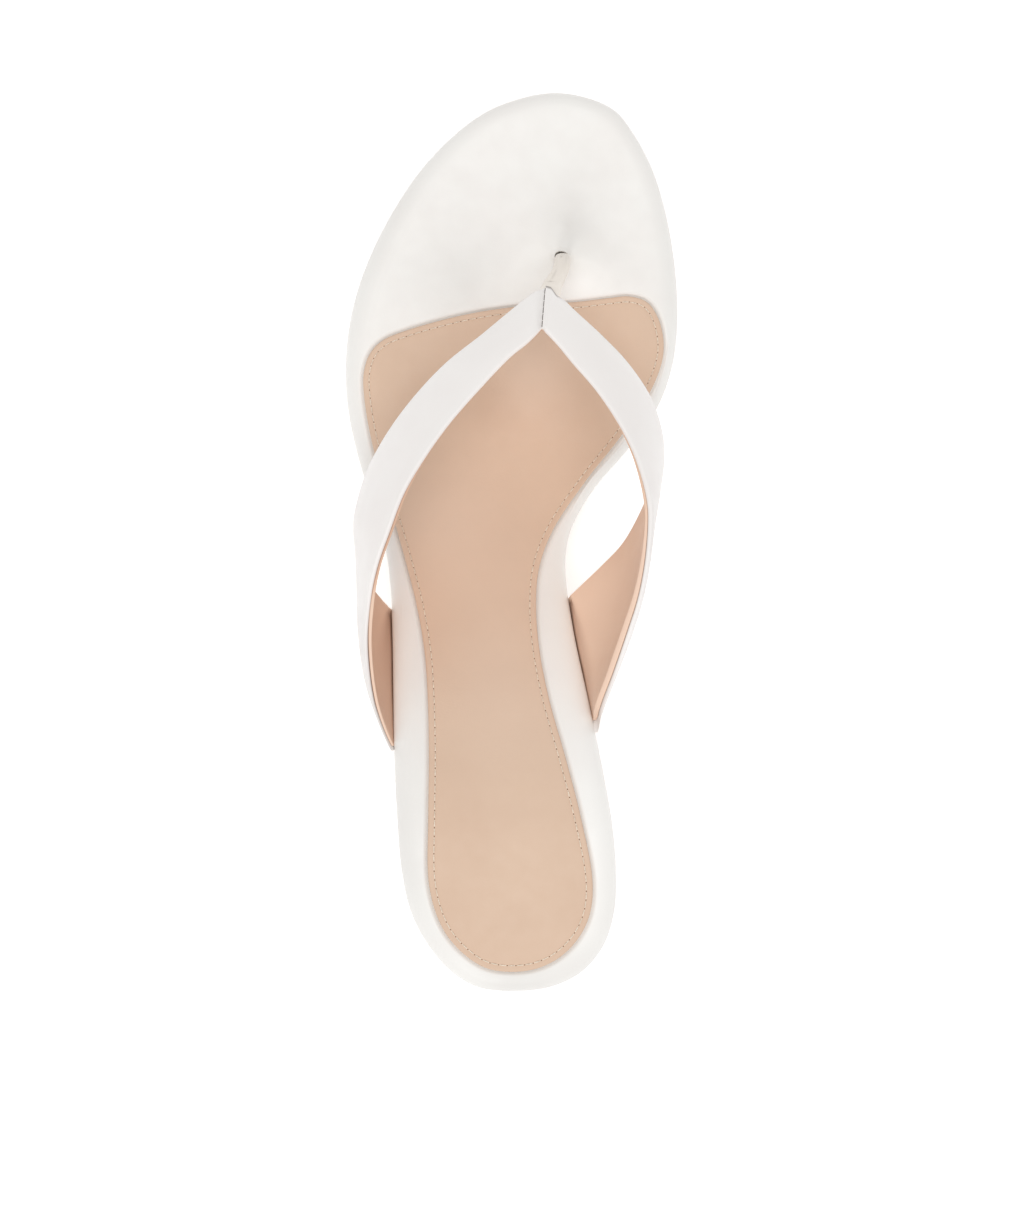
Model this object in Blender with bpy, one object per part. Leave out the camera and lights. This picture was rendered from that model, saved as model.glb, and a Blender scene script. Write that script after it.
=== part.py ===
"""Heeled toe post mule, left shoe, size 37.

A leather-wrapped footbed on a low slope carries a sock, a leather outsole and a covered heel. The
upper is one Y of two bands and a toe post. Metres, +Z up, +Y to the toe, +X to the big toe side.
The origin is the middle of the heel's top piece, on the floor. Tables are in millimetres: "along" is
the distance from the back of the heel seat, and "across" runs from the shoe's middle to the big toe.
"""

import math

import bmesh
import bpy
import numpy as np

MM = 0.001
GAP = 0.3

# Driving dimensions
HEEL_REST_ALONG = 19.0
TREAD_START = 140.0
TREAD_END = 185.0
OUTSOLE_THICK = 2.7
FOOTBED_THICK = 7.0
BREAST_ALONG = 50.0
TOP_PIECE_THICK = 5.0
RECESS_DEPTH = 0.7
SOCK_THICK = 1.0
STRAP_THICK = 2.2
TAB_THICK = 1.6
POST_THICK = 2.6

FOOTBED_BASE = OUTSOLE_THICK + GAP
FOOTBED_TOP = FOOTBED_BASE + FOOTBED_THICK

# How finely each form is divided
RIBS = 40
RIB_COLUMNS = 6
STRAP_COLUMNS = 7
STRAP_STEPS = 2
HEEL_POINTS = 22
POST_STEPS = 2
POST_POINTS = 12
HOLE_POINTS = 16

CUTTER_TOP = 20.0
MERGE_DISTANCE = 0.00001
SHARP_ANGLE = 40


def table(columns, *rows):
    """Rows of numbers under named columns, as one array for each column."""
    return dict(zip(columns.split(), np.array(rows, float).T))


# Height of the outsole's tread face above the floor, from the heel seat to the tip of the toe
SOLE_LINE = table(
    "along rise",
    (-5, 46.9),
    (0, 46.7),
    (22, 45.7),
    (38, 44.0),
    (50, 41.2),
    (60, 37.6),
    (72, 32.0),
    (86, 24.0),
    (100, 15.6),
    (112, 8.9),
    (122, 4.1),
    (132, 1.0),
    (TREAD_START, 0),
    (TREAD_END, 0),
    (200, 0.8),
    (215, 2.6),
    (231, 5.6),
)

# Outline of the footbed between its two tips
RIM = table(
    "along lateral medial",
    (1.1, -8.9, 9.8),
    (5, -15.2, 17.6),
    (11.5, -20.9, 22.8),
    (20, -25.2, 25.4),
    (30, -27.4, 25.8),
    (42, -28.5, 24.8),
    (56, -29.4, 22.4),
    (72, -30.0, 19.2),
    (86, -30.6, 16.3),
    (98, -31.4, 14.5),
    (107, -32.6, 14.0),
    (115, -34.4, 15.4),
    (126, -38.2, 21.4),
    (137, -41.5, 30.8),
    (148, -43.7, 38.6),
    (158, -44.3, 42.4),
    (169, -43.5, 44.0),
    (180, -41.0, 43.9),
    (191, -36.7, 42.7),
    (202, -30.7, 40.4),
    (212, -23.5, 37.0),
    (221, -14.3, 31.9),
    (226.6, -5.8, 27.0),
    (230, 4.2, 18.6),
)
RIM_TIPS = {"heel": (0.0, 0.0), "toe": (11.0, 230.9)}

# Outline of the sock up to the ball of the foot, then round its front edge
SOCK = table(
    "along lateral medial",
    (6.2, -6.4, 6.4),
    (9.2, -12.0, 12.2),
    (14.2, -16.5, 16.8),
    (20, -19.1, 19.3),
    (28, -20.6, 19.8),
    (44, -20.7, 16.8),
    (58, -20.7, 13.2),
    (72, -21.2, 9.3),
    (84, -22.3, 7.0),
    (95, -24.4, 6.2),
    (105, -27.1, 7.0),
    (115, -30.1, 10.6),
    (128, -34.2, 19.2),
    (140, -37.4, 28.6),
    (151, -39.2, 36.0),
    (157, -39.3, 38.8),
)
SOCK_FRONT = table(
    "across along",
    (-37.8, 162.0),
    (-34.5, 165.6),
    (-28.5, 168.2),
    (-13.2, 172.4),
    (1.1, 174.7),
    (17.5, 176.0),
    (26.0, 177.0),
    (31.0, 177.4),
    (35.6, 176.0),
    (38.4, 172.4),
    (40.0, 167.1),
    (40.1, 162.0),
)
SOCK_HEEL = (-0.1, 5.3)
SOCK_TIP = (31.0, 177.4)

# The footbed's wrapped edge, from its underside round to its top: inset from the outline and share
# of the thickness
ROLLED_EDGE = table(
    "inset share",
    (1.8, 0.0),
    (0.7, 0.12),
    (0.1, 0.3),
    (0.0, 0.42),
    (0.25, 0.58),
    (1.0, 0.75),
    (2.3, 0.89),
    (4.0, 0.97),
    (6.2, 1.0),
)
CUT_EDGE = table("inset share", (0.25, 0.0), (0.0, 0.25), (0.0, 0.7), (0.3, 1.0))
PLAIN_EDGE = table("inset share", (0.0, 0.0), (0.0, 1.0))

# Each band's lining face from the seam to the footbed: its rear edge, its front edge and how far it
# bows out between them
BAND_COLUMNS = "rear_x rear_y rear_z front_x front_y front_z bow"
SEAM = (7.6, 164.6, 45.0, 8.4, 174.6, 38.2, 0.2)
MEDIAL_BAND = table(
    BAND_COLUMNS,
    SEAM,
    (11.1, 160.8, 46.6, 14.5, 168.5, 39.3, 0.4),
    (15.3, 155.7, 48.5, 21.1, 162.1, 40.8, 0.7),
    (21.4, 148.0, 51.7, 27.8, 154.6, 42.1, 0.9),
    (27.3, 137.7, 55.8, 33.5, 145.3, 41.9, 1.0),
    (30.6, 128.5, 59.3, 36.2, 135.4, 40.0, 0.9),
    (32.3, 119.0, 62.4, 35.4, 126.8, 37.6, 0.6),
    (32.0, 109.9, 63.5, 32.7, 119.3, 35.0, 0.3),
    (30.1, 99.5, 62.3, 28.5, 111.2, 32.2, 1.1),
    (27.6, 90.0, 59.0, 23.6, 105.6, 29.8, 1.8),
    (24.4, 79.5, 53.4, 19.3, 101.4, 27.7, 1.8),
    (21.5, 70.3, 47.3, 16.4, 98.9, 26.1, 1.0),
)
LATERAL_BAND = table(
    BAND_COLUMNS,
    SEAM,
    (3.9, 161.0, 46.6, 1.8, 169.1, 39.5, 0.4),
    (-1.0, 156.9, 48.2, -6.2, 162.2, 41.1, 0.6),
    (-8.9, 148.2, 51.4, -15.5, 154.5, 42.3, 0.8),
    (-15.7, 139.7, 54.7, -24.4, 144.7, 42.3, 1.0),
    (-21.4, 131.1, 58.0, -31.1, 135.4, 41.1, 1.3),
    (-26.1, 122.3, 60.5, -36.1, 126.9, 37.9, 1.6),
    (-29.6, 112.9, 61.8, -38.1, 117.2, 35.0, 2.3),
    (-32.3, 104.5, 61.4, -37.2, 108.4, 32.7, 2.2),
    (-33.7, 96.0, 59.6, -35.4, 101.4, 30.6, 2.2),
    (-34.6, 85.5, 55.6, -33.4, 97.2, 29.0, 2.0),
    (-33.2, 71.5, 49.0, -32.2, 94.9, 27.8, 1.6),
)
# The band's lining face where it turns in under the footbed: how far outside the outline, how high
# above the sole line, and the leather's thickness there
TUCK = table(
    "outset height thick",
    (1.0, 7.4, 2.2),
    (0.75, 5.9, 2.1),
    (0.1, 4.95, 1.9),
    (-1.4, 4.9, TAB_THICK),
    (-7.5, 4.9, TAB_THICK),
)
TUCK_SPAN = {"medial": (64.4, 97.8), "lateral": (61.0, 93.9)}
# The rear of each tucked end is skived thin and drawn in: over this share of the width, between these
# rows of the band
SKIVE = {"width": 0.35, "thinned": 0.55, "drawn_in": 0.45, "from_row": 10.8, "to_row": 12.0}
POCKET = {"beyond": 1.6, "outside": 4.0, "inside": 8.6, "floor": 2.0, "ceiling": 5.5}
POCKET_STEPS = 6

# Middle line of the toe post, from inside the footbed up to the seam
POST_LINE = table(
    "across along up",
    (13.3, 188.4, 3.9),
    (13.3, 188.1, 9.0),
    (13.3, 186.4, 16.5),
    (13.0, 183.9, 22.5),
    (12.3, 181.3, 27.7),
    (11.3, 179.0, 31.4),
    (10.4, 177.2, 33.8),
    (9.7, 175.2, 36.1),
    (8.9, 172.0, 39.0),
    (8.2, 168.5, 41.0),
)
# The strip is narrower at its foot than above it: width of each, and the heights between which it grows
POST_WIDTH = table("up width", (8.0, 4.3), (17.0, 4.9))
POST_ROUNDNESS = 0.7
POST_HOLE = {"across": 13.3, "along": 188.1, "half_width": 2.75, "half_length": 2.0}
DIMPLE = {"across": 13.6, "along": 192.0, "depth": 1.3, "spread": 6.5}

# The heel block: its width and length as shares of the seat, and where its back stands
HEEL = table(
    "level width length back",
    (0.0, 0.45, 0.44, 8.2),
    (0.15, 0.45, 0.44, 7.5),
    (0.35, 0.48, 0.47, 6.2),
    (0.55, 0.56, 0.55, 4.8),
    (0.72, 0.68, 0.67, 3.5),
    (0.86, 0.83, 0.83, 2.6),
    (0.95, 0.95, 0.95, 2.2),
    (1.0, 1.0, 1.0, 2.2),
)
HEEL_SEAT_INSET = 2.2
OUTSOLE_INSET = 3.0


def clear_scene():
    for obj in list(bpy.data.objects):
        bpy.data.objects.remove(obj)


def finish(name, color, roughness):
    """A Principled material of one colour."""
    material = bpy.data.materials.new(name)
    material.use_nodes = True
    shader = material.node_tree.nodes["Principled BSDF"]
    shader.inputs["Base Color"].default_value = (*color, 1.0)
    shader.inputs["Roughness"].default_value = roughness
    shader.inputs["Metallic"].default_value = 0.0
    return material


def rise(along):
    """Height of the tread face, smooth between the rows and level between equal ones."""
    known = SOLE_LINE["along"]
    height = SOLE_LINE["rise"]
    steps = np.diff(known)
    slopes = np.diff(height) / steps
    same_way = slopes[:-1] * slopes[1:] > 0
    weighted = 2 * slopes[:-1] * slopes[1:] / np.where(same_way, slopes[:-1] + slopes[1:], 1)
    tangents = np.concatenate([slopes[:1], np.where(same_way, weighted, 0), slopes[-1:]])
    index = np.clip(np.searchsorted(known, along) - 1, 0, len(steps) - 1)
    step = steps[index]
    part = (along - known[index]) / step
    start = (1 + 2 * part) * (1 - part) ** 2 * height[index]
    end = part**2 * (3 - 2 * part) * height[index + 1]
    leave = part * (1 - part) ** 2 * step * tangents[index]
    arrive = part**2 * (part - 1) * step * tangents[index + 1]
    return start + end + leave + arrive


def above_sole(height):
    """A surface at one height above the sole line."""
    return lambda across, along: rise(along) + height


def footbed_top(across, along):
    """The footbed's upper surface, pressed in where the toe post enters it."""
    away = (across - DIMPLE["across"]) ** 2 + (along - DIMPLE["along"]) ** 2
    pressed = DIMPLE["depth"] * np.exp(-away / (2 * DIMPLE["spread"] ** 2))
    return rise(along) + FOOTBED_TOP - pressed


def curve(points, steps, closed=False):
    """A smooth line through the points, with the given number of steps between neighbours.

    Its speed follows the points' spacing, so uneven spacing brings no bumps. A point may be a row of
    several points, which then share one speed.
    """
    points = np.asarray(points, float)
    ends = (points[-1:], points[:2]) if closed else (points[:1], points[-1:])
    held = np.concatenate([ends[0], points, ends[1]])
    if not closed:
        held[0] = 2 * points[0] - points[1]
        held[-1] = 2 * points[-1] - points[-2]
    lengths = np.linalg.norm(np.diff(held, axis=0).reshape(len(held) - 1, -1), axis=1)
    times = np.sqrt(lengths)
    made = []
    for k in range(1, len(held) - 2):
        before, first, second, after = held[k - 1 : k + 3]
        enter, cross, leave = times[k - 1 : k + 2]
        step = second - first
        start = step + cross * ((first - before) / enter - (second - before) / (enter + cross))
        end = step + cross * ((after - second) / leave - (after - first) / (leave + cross))
        for part in np.arange(steps) / steps:
            turn = part * (1 - part) * ((1 - part) * (start - step) - part * (end - step))
            made.append(first + part * step + turn)
    if not closed:
        made.append(points[-1])
    return np.array(made)


class Outline:
    """A closed plan shape between a heel tip and a toe tip, read at any distance along."""

    STEPS = 16

    def __init__(self, lateral, medial):
        """The two sides are points from the heel tip to the toe tip, which they share."""
        loop = np.concatenate([lateral, medial[-2:0:-1]])
        smooth = curve(loop, self.STEPS, closed=True)
        turn = (len(lateral) - 1) * self.STEPS
        tangent = np.roll(smooth, -1, axis=0) - np.roll(smooth, 1, axis=0)
        outward = np.stack([-tangent[:, 1], tangent[:, 0]], axis=1)
        outward /= np.linalg.norm(outward, axis=1)[:, None]
        to_heel = np.r_[turn : len(smooth), 0]
        self.sides = {
            "lateral": (smooth[: turn + 1], outward[: turn + 1]),
            "medial": (smooth[to_heel][::-1], outward[to_heel][::-1]),
        }
        self.span = (smooth[0, 1], smooth[turn, 1])

    def at(self, side, along, outset=0.0):
        """Plan points of one side, moved out square to the outline."""
        points, outward = self.sides[side]
        along = np.atleast_1d(along)
        found = np.stack([np.interp(along, points[:, 1], points[:, k]) for k in (0, 1)], axis=1)
        facing = np.stack([np.interp(along, points[:, 1], outward[:, k]) for k in (0, 1)], axis=1)
        facing /= np.linalg.norm(facing, axis=1)[:, None]
        return found + outset * facing

    def stations(self, count, start=None):
        """Distances along, close together at a rounded tip and even towards a square start."""
        share = np.linspace(0, 1, count + 1)
        if start is None:
            return self.span[0] + (self.span[1] - self.span[0]) * (1 - np.cos(math.pi * share)) / 2
        return start + (self.span[1] - start) * np.sin(math.pi * share / 2)


def side_points(rows, side, heel, toe):
    middle = np.stack([rows[side], rows["along"]], axis=1)
    return np.concatenate([[heel], middle, [toe]])


def rim_outline():
    sides = [side_points(RIM, side, RIM_TIPS["heel"], RIM_TIPS["toe"]) for side in ("lateral", "medial")]
    return Outline(*sides)


def sock_outline():
    front = np.stack([SOCK_FRONT["across"], SOCK_FRONT["along"]], axis=1)
    tip = int(np.argmax(front[:, 1]))
    lateral = side_points(SOCK, "lateral", SOCK_HEEL, SOCK_TIP)
    medial = side_points(SOCK, "medial", SOCK_HEEL, SOCK_TIP)
    lateral = np.concatenate([lateral[:-1], front[: tip + 1]])
    medial = np.concatenate([medial[:-1], front[:tip:-1], [SOCK_TIP]])
    return Outline(lateral, medial)


def place(point):
    """From millimetres along and across the shoe to metres in its own frame."""
    return (point[0] * MM, (point[1] - HEEL_REST_ALONG) * MM, point[2] * MM)


def add_object(name, mesh_data, material):
    mesh = bpy.data.meshes.new(name)
    bmesh.ops.remove_doubles(mesh_data, verts=mesh_data.verts, dist=MERGE_DISTANCE)
    bmesh.ops.recalc_face_normals(mesh_data, faces=mesh_data.faces)
    mesh_data.to_mesh(mesh)
    mesh_data.free()
    mesh.materials.append(material)
    mesh.shade_smooth()
    mesh.set_sharp_from_angle(angle=math.radians(SHARP_ANGLE))
    obj = bpy.data.objects.new(name, mesh)
    bpy.context.collection.objects.link(obj)
    return obj


def as_helper(obj):
    obj.hide_render = True
    obj.display_type = "WIRE"
    return obj


def combine(obj, helper, operation):
    modifier = obj.modifiers.new(helper.name, "BOOLEAN")
    modifier.operation = operation
    modifier.object = as_helper(helper)
    return modifier


def skin(mesh_data, rings):
    """Faces between rings of the same number of points, each ring closed on itself."""
    for lower, upper in zip(rings, rings[1:]):
        for k in range(len(lower)):
            after = (k + 1) % len(lower)
            mesh_data.faces.new((lower[k], lower[after], upper[after], upper[k]))


def slab(name, outline, edge, base, top, material, start=None, grow=0.0):
    """A plate between two surfaces, with ribs across it and its edge worked to a profile.

    It runs from tip to tip, or from a square end at start to the toe.
    """
    mesh_data = bmesh.new()
    stations = outline.stations(RIBS, start)
    square = start is not None
    last = 2 * RIBS

    def ring(inset, share):
        """Points up the plate's lateral side, down its medial side and back along a square end."""
        lateral = outline.at("lateral", stations, grow - inset)
        medial = outline.at("medial", stations, grow - inset)
        if square:
            lateral[0, 1] = start + inset
            medial[0, 1] = start + inset
            end = np.linspace(medial[0], lateral[0], RIB_COLUMNS + 1)[:-1]
        else:
            end = medial[:0]
        plan = np.concatenate([lateral, medial[-2:0:-1], end])
        low = base(plan[:, 0], plan[:, 1])
        high = top(plan[:, 0], plan[:, 1])
        up = low + share * (high - low)
        return [mesh_data.verts.new(place(p)) for p in np.column_stack([plan, up])]

    def rib_between(left, right, surface):
        rib = [left]
        for part in np.arange(1, RIB_COLUMNS) / RIB_COLUMNS:
            plan = left.co.lerp(right.co, part) / MM
            along = plan.y + HEEL_REST_ALONG
            rib.append(mesh_data.verts.new(place((plan.x, along, surface(plan.x, along)))))
        return rib + [right]

    def close(ring_points, surface):
        """Ribs from side to side that close the plate over one of its rings."""
        ribs = [[ring_points[0]] * (RIB_COLUMNS + 1)]
        if square:
            ribs = [ring_points[:1] + ring_points[: last - 1 : -1]]
        ribs += [rib_between(ring_points[k], ring_points[last - k], surface) for k in range(1, RIBS)]
        ribs.append([ring_points[RIBS]] * (RIB_COLUMNS + 1))
        for near, far in zip(ribs, ribs[1:]):
            for k in range(RIB_COLUMNS):
                corners = (near[k], near[k + 1], far[k + 1], far[k])
                mesh_data.faces.new(list(dict.fromkeys(corners)))

    rings = [ring(inset, share) for inset, share in zip(edge["inset"], edge["share"])]
    skin(mesh_data, rings)
    close(rings[0], base)
    close(rings[-1], top)
    return add_object(name, mesh_data, material)


def make_footbed(rim, sock, leather):
    footbed = slab("footbed", rim, ROLLED_EDGE, above_sole(FOOTBED_BASE), footbed_top, leather)

    def recess_floor(across, along):
        return footbed_top(across, along) - RECESS_DEPTH

    recess_top = above_sole(CUTTER_TOP)
    recess = slab("sock_recess", sock, PLAIN_EDGE, recess_floor, recess_top, leather, grow=GAP)
    combine(footbed, recess, "DIFFERENCE")
    combine(footbed, make_post_hole(leather), "DIFFERENCE")
    for side in TUCK_SPAN:
        combine(footbed, make_pocket(rim, side, leather), "DIFFERENCE")
    return footbed


def make_post_hole(material):
    """A rounded slot right through the footbed."""
    mesh_data = bmesh.new()
    rings = []
    for height in (0.0, CUTTER_TOP):
        ring = []
        for turn in np.linspace(0, 2 * math.pi, HOLE_POINTS, endpoint=False):
            across = POST_HOLE["across"] + POST_HOLE["half_width"] * math.cos(turn)
            along = POST_HOLE["along"] + POST_HOLE["half_length"] * math.sin(turn)
            ring.append(mesh_data.verts.new(place((across, along, height))))
        rings.append(ring)
        mesh_data.faces.new(ring)
    skin(mesh_data, rings)
    return add_object("post_hole", mesh_data, material)


def make_pocket(rim, side, material):
    """The shallow rebate under the footbed that takes the end of one band."""
    mesh_data = bmesh.new()
    low, high = TUCK_SPAN[side]
    floor, ceiling = POCKET["floor"], POCKET["ceiling"]
    outside, inside = POCKET["outside"], -POCKET["inside"]
    rings = []
    for along in np.linspace(low - POCKET["beyond"], high + POCKET["beyond"], POCKET_STEPS + 1):
        ring = []
        for reach, level in ((outside, floor), (inside, floor), (inside, ceiling), (outside, ceiling)):
            plan = rim.at(side, along, reach)[0]
            ring.append(mesh_data.verts.new(place((*plan, rise(plan[1]) + level))))
        rings.append(ring)
    skin(mesh_data, rings)
    mesh_data.faces.new(rings[0])
    mesh_data.faces.new(rings[-1])
    return add_object(side + "_pocket", mesh_data, material)


def make_sock(sock, leather):
    def base(across, along):
        return footbed_top(across, along) - RECESS_DEPTH + GAP

    def top(across, along):
        return base(across, along) + SOCK_THICK

    return slab("insole", sock, CUT_EDGE, base, top, leather)


def make_outsole(rim, leather):
    heel = (RIM_TIPS["heel"][0], RIM_TIPS["heel"][1] + OUTSOLE_INSET)
    toe = (RIM_TIPS["toe"][0], RIM_TIPS["toe"][1] - OUTSOLE_INSET)
    sides = []
    for side in ("lateral", "medial"):
        sides.append(np.concatenate([[heel], rim.at(side, RIM["along"], -OUTSOLE_INSET), [toe]]))
    start = BREAST_ALONG + GAP
    outline = Outline(*sides)
    return slab("outsole", outline, CUT_EDGE, above_sole(0.0), above_sole(OUTSOLE_THICK), leather, start)


def heel_plan(rim):
    """Outline of the heel seat in front of and behind its breast, as plan points."""
    turn = np.linspace(0, 1, HEEL_POINTS)
    along = BREAST_ALONG - BREAST_ALONG * np.sin(turn * math.pi / 2)
    lateral = rim.at("lateral", along, -HEEL_SEAT_INSET)
    medial = rim.at("medial", along[::-1], -HEEL_SEAT_INSET)
    return np.concatenate([lateral, medial[1:]])


def heel_ring(mesh_data, plan, width, length, back, height):
    """One level of the heel: the seat's outline drawn in, at a height for each of its points."""
    near = plan[:, 1].min()
    across = plan[:, 0] * width
    along = back + (plan[:, 1] - near) * length
    up = height(across, along)
    return [mesh_data.verts.new(place(p)) for p in np.column_stack([across, along, up])]


def make_heel(rim, leather):
    mesh_data = bmesh.new()
    plan = heel_plan(rim)
    foot = TOP_PIECE_THICK + GAP
    rings = []
    for level, width, length, back in zip(*HEEL.values()):

        def height(across, along, level=level):
            return foot + level * (rise(along) + OUTSOLE_THICK - foot)

        rings.append(heel_ring(mesh_data, plan, width, length, back, height))
    skin(mesh_data, rings)
    close_heel(mesh_data, rings[0])
    close_heel(mesh_data, rings[-1])
    return add_object("heel", mesh_data, leather)


def close_heel(mesh_data, ring):
    """Faces across one level, from each point to its partner on the other side."""
    count = len(ring)
    for k in range(count // 2):
        corners = [ring[k], ring[k + 1], ring[count - 2 - k], ring[count - 1 - k]]
        mesh_data.faces.new(list(dict.fromkeys(corners)))


def make_top_piece(rim, rubber):
    mesh_data = bmesh.new()
    plan = heel_plan(rim)
    level, width, length, back = (column[0] for column in HEEL.values())
    rings = []
    for height in (0.0, TOP_PIECE_THICK):

        def flat(across, along, height=height):
            return np.full(len(along), height)

        rings.append(heel_ring(mesh_data, plan, width, length, back, flat))
    skin(mesh_data, rings)
    close_heel(mesh_data, rings[0])
    close_heel(mesh_data, rings[-1])
    return add_object("heel_top_piece", mesh_data, rubber)


def band_grid(band, rim, side):
    """Lining face of one band: rows from the seam to its tucked end, columns from rear to front."""
    share = np.linspace(0, 1, STRAP_COLUMNS)[:, None]
    rows = []
    for k in range(len(band["bow"])):
        rear = np.array([band["rear_x"][k], band["rear_y"][k], band["rear_z"][k]])
        front = np.array([band["front_x"][k], band["front_y"][k], band["front_z"][k]])
        facing = outward_of(band, k, side)
        rows.append(rear + share * (front - rear) + 4 * share * (1 - share) * band["bow"][k] * facing)
    low, high = TUCK_SPAN[side]
    along = low + share[:, 0] * (high - low)
    skive = np.clip(1 - share / SKIVE["width"], 0, 1)
    for outset, height in zip(TUCK["outset"], TUCK["height"]):
        outside = outset - SKIVE["drawn_in"] * skive * (outset > 0.5)
        plan = rim.at(side, along, outside)
        rows.append(np.column_stack([plan, rise(plan[:, 1]) + height]))
    grid = curve(rows, STRAP_STEPS)
    place_in_band = np.arange(len(grid))[:, None] / STRAP_STEPS
    thick = np.concatenate([np.full(len(band["bow"]), STRAP_THICK), TUCK["thick"]])
    thick = np.interp(place_in_band, np.arange(len(rows)), thick)
    late = np.clip((place_in_band - SKIVE["from_row"]) / (SKIVE["to_row"] - SKIVE["from_row"]), 0, 1)
    return grid, thick * (1 - SKIVE["thinned"] * late * skive[:, 0])


def outward_of(band, k, side):
    """Direction that the band's face points at one of its rows, away from the foot."""
    middle = np.column_stack([(band["rear_" + axis] + band["front_" + axis]) / 2 for axis in "xyz"])
    run = middle[min(k + 1, len(middle) - 1)] - middle[max(k - 1, 0)]
    chord = np.array([band["front_" + axis][k] - band["rear_" + axis][k] for axis in "xyz"])
    facing = np.cross(run, chord) * (1 if side == "medial" else -1)
    if k == 0:
        facing[0] = 0
    return facing / np.linalg.norm(facing)


def make_bands(rim, leather):
    """Both bands as one wall, joined at the seam, with rounded edges and square hidden ends."""
    medial, medial_thick = band_grid(MEDIAL_BAND, rim, "medial")
    lateral, lateral_thick = band_grid(LATERAL_BAND, rim, "lateral")
    lining = np.concatenate([lateral[::-1], medial[1:]])
    thick = np.concatenate([lateral_thick[::-1], medial_thick[1:]])
    run = np.gradient(lining, axis=0)
    chord = np.gradient(lining, axis=1)
    facing = np.cross(run, chord)
    facing /= np.linalg.norm(facing, axis=2)[:, :, None]
    outer = lining + facing * thick[:, :, None]
    chord /= np.linalg.norm(chord, axis=2)[:, :, None]
    mesh_data = bmesh.new()
    rings = []
    for k in range(len(lining)):
        rear = rounded(lining[k, 0], outer[k, 0], -chord[k, 0], thick[k, 0] / 2)
        front = rounded(outer[k, -1], lining[k, -1], chord[k, -1], thick[k, -1] / 2)
        section = np.concatenate([lining[k][::-1], rear, outer[k], front])
        rings.append([mesh_data.verts.new(place(p)) for p in section])
    skin(mesh_data, rings)
    mesh_data.faces.new(rings[0])
    mesh_data.faces.new(rings[-1])
    return add_object("upper", mesh_data, leather)


def rounded(start, end, outward, reach):
    """Points of a half round between two corners of a section, leaving the corners out."""
    middle = (start + end) / 2
    half = (end - start) / 2
    turns = (-math.pi / 4, 0, math.pi / 4)
    return np.array([middle + half * math.sin(t) + outward * reach * math.cos(t) for t in turns])


def full_oval(reach):
    """A sine or cosine pushed outwards, so that the oval has flatter faces."""
    return math.copysign(abs(reach) ** POST_ROUNDNESS, reach)


def make_post(leather):
    """The folded strip between the toes, with an oval section square to its middle line."""
    mesh_data = bmesh.new()
    line = curve(np.column_stack(list(POST_LINE.values())), POST_STEPS)
    heading = np.gradient(line, axis=0)
    heading /= np.linalg.norm(heading, axis=1)[:, None]
    rings = []
    for middle, forward in zip(line, heading):
        side = np.array([1.0, 0.0, 0.0])
        side -= side.dot(forward) * forward
        side /= np.linalg.norm(side)
        front = np.cross(side, forward)
        width = np.interp(middle[2], POST_WIDTH["up"], POST_WIDTH["width"])
        ring = []
        for turn in np.linspace(0, 2 * math.pi, POST_POINTS, endpoint=False):
            sideways = side * full_oval(math.cos(turn)) * width / 2
            through = front * full_oval(math.sin(turn)) * POST_THICK / 2
            ring.append(mesh_data.verts.new(place(middle + sideways + through)))
        rings.append(ring)
    skin(mesh_data, rings)
    mesh_data.faces.new(rings[0])
    mesh_data.faces.new(rings[-1])
    return add_object("toe_post", mesh_data, leather)


def make_upper(rim, leather):
    upper = make_bands(rim, leather)
    combine(upper, make_post(leather), "UNION")
    return upper


def build():
    clear_scene()
    white = finish("white_leather", (0.83, 0.81, 0.78), 0.5)
    nude = finish("nude_leather", (0.67, 0.49, 0.36), 0.6)
    buff = finish("buff_sole_leather", (0.62, 0.45, 0.3), 0.6)
    rubber = finish("top_piece_rubber", (0.55, 0.42, 0.3), 0.7)
    rim = rim_outline()
    sock = sock_outline()
    make_outsole(rim, buff)
    make_heel(rim, white)
    make_top_piece(rim, rubber)
    make_footbed(rim, sock, white)
    make_sock(sock, nude)
    make_upper(rim, white)


build()
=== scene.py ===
"""Looks of a heeled toe post mule, left shoe.

White calf wraps the footbed, both bands, the toe post and the heel. Nude leather lines the bands
and makes the sock. The sole is buff leather. Tables are in millimetres, as in the part's source:
"along" is the distance from the back of the heel seat, and "across" runs to the big toe side.
"""

import math

import bmesh
import bpy
import numpy as np
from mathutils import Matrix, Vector


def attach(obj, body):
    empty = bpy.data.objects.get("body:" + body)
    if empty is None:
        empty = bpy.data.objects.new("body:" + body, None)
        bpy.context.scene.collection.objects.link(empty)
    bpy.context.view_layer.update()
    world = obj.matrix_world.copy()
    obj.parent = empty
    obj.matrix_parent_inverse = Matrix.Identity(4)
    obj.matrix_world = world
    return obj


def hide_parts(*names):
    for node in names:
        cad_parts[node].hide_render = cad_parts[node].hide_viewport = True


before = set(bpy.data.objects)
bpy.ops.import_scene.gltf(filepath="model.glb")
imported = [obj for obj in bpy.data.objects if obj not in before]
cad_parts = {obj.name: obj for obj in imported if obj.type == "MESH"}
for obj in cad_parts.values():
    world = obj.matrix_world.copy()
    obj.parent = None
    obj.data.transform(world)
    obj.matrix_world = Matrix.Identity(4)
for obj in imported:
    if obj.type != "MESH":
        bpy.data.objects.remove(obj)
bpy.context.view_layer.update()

MM = 0.001


def table(columns, *rows):
    """Rows of numbers under named columns, as one array for each column."""
    return dict(zip(columns.split(), np.array(rows, float).T))


def stack(data, names):
    """Some columns of a table, side by side."""
    return np.stack([data[name] for name in names.split()], axis=1)


# Columns that several tables have: round patches in the plan, and values by the row of a band
SPOT = "across along spread amount"
BY_ROW = "row medial lateral"

# ---------------- sizes shared with the part's source

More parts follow.
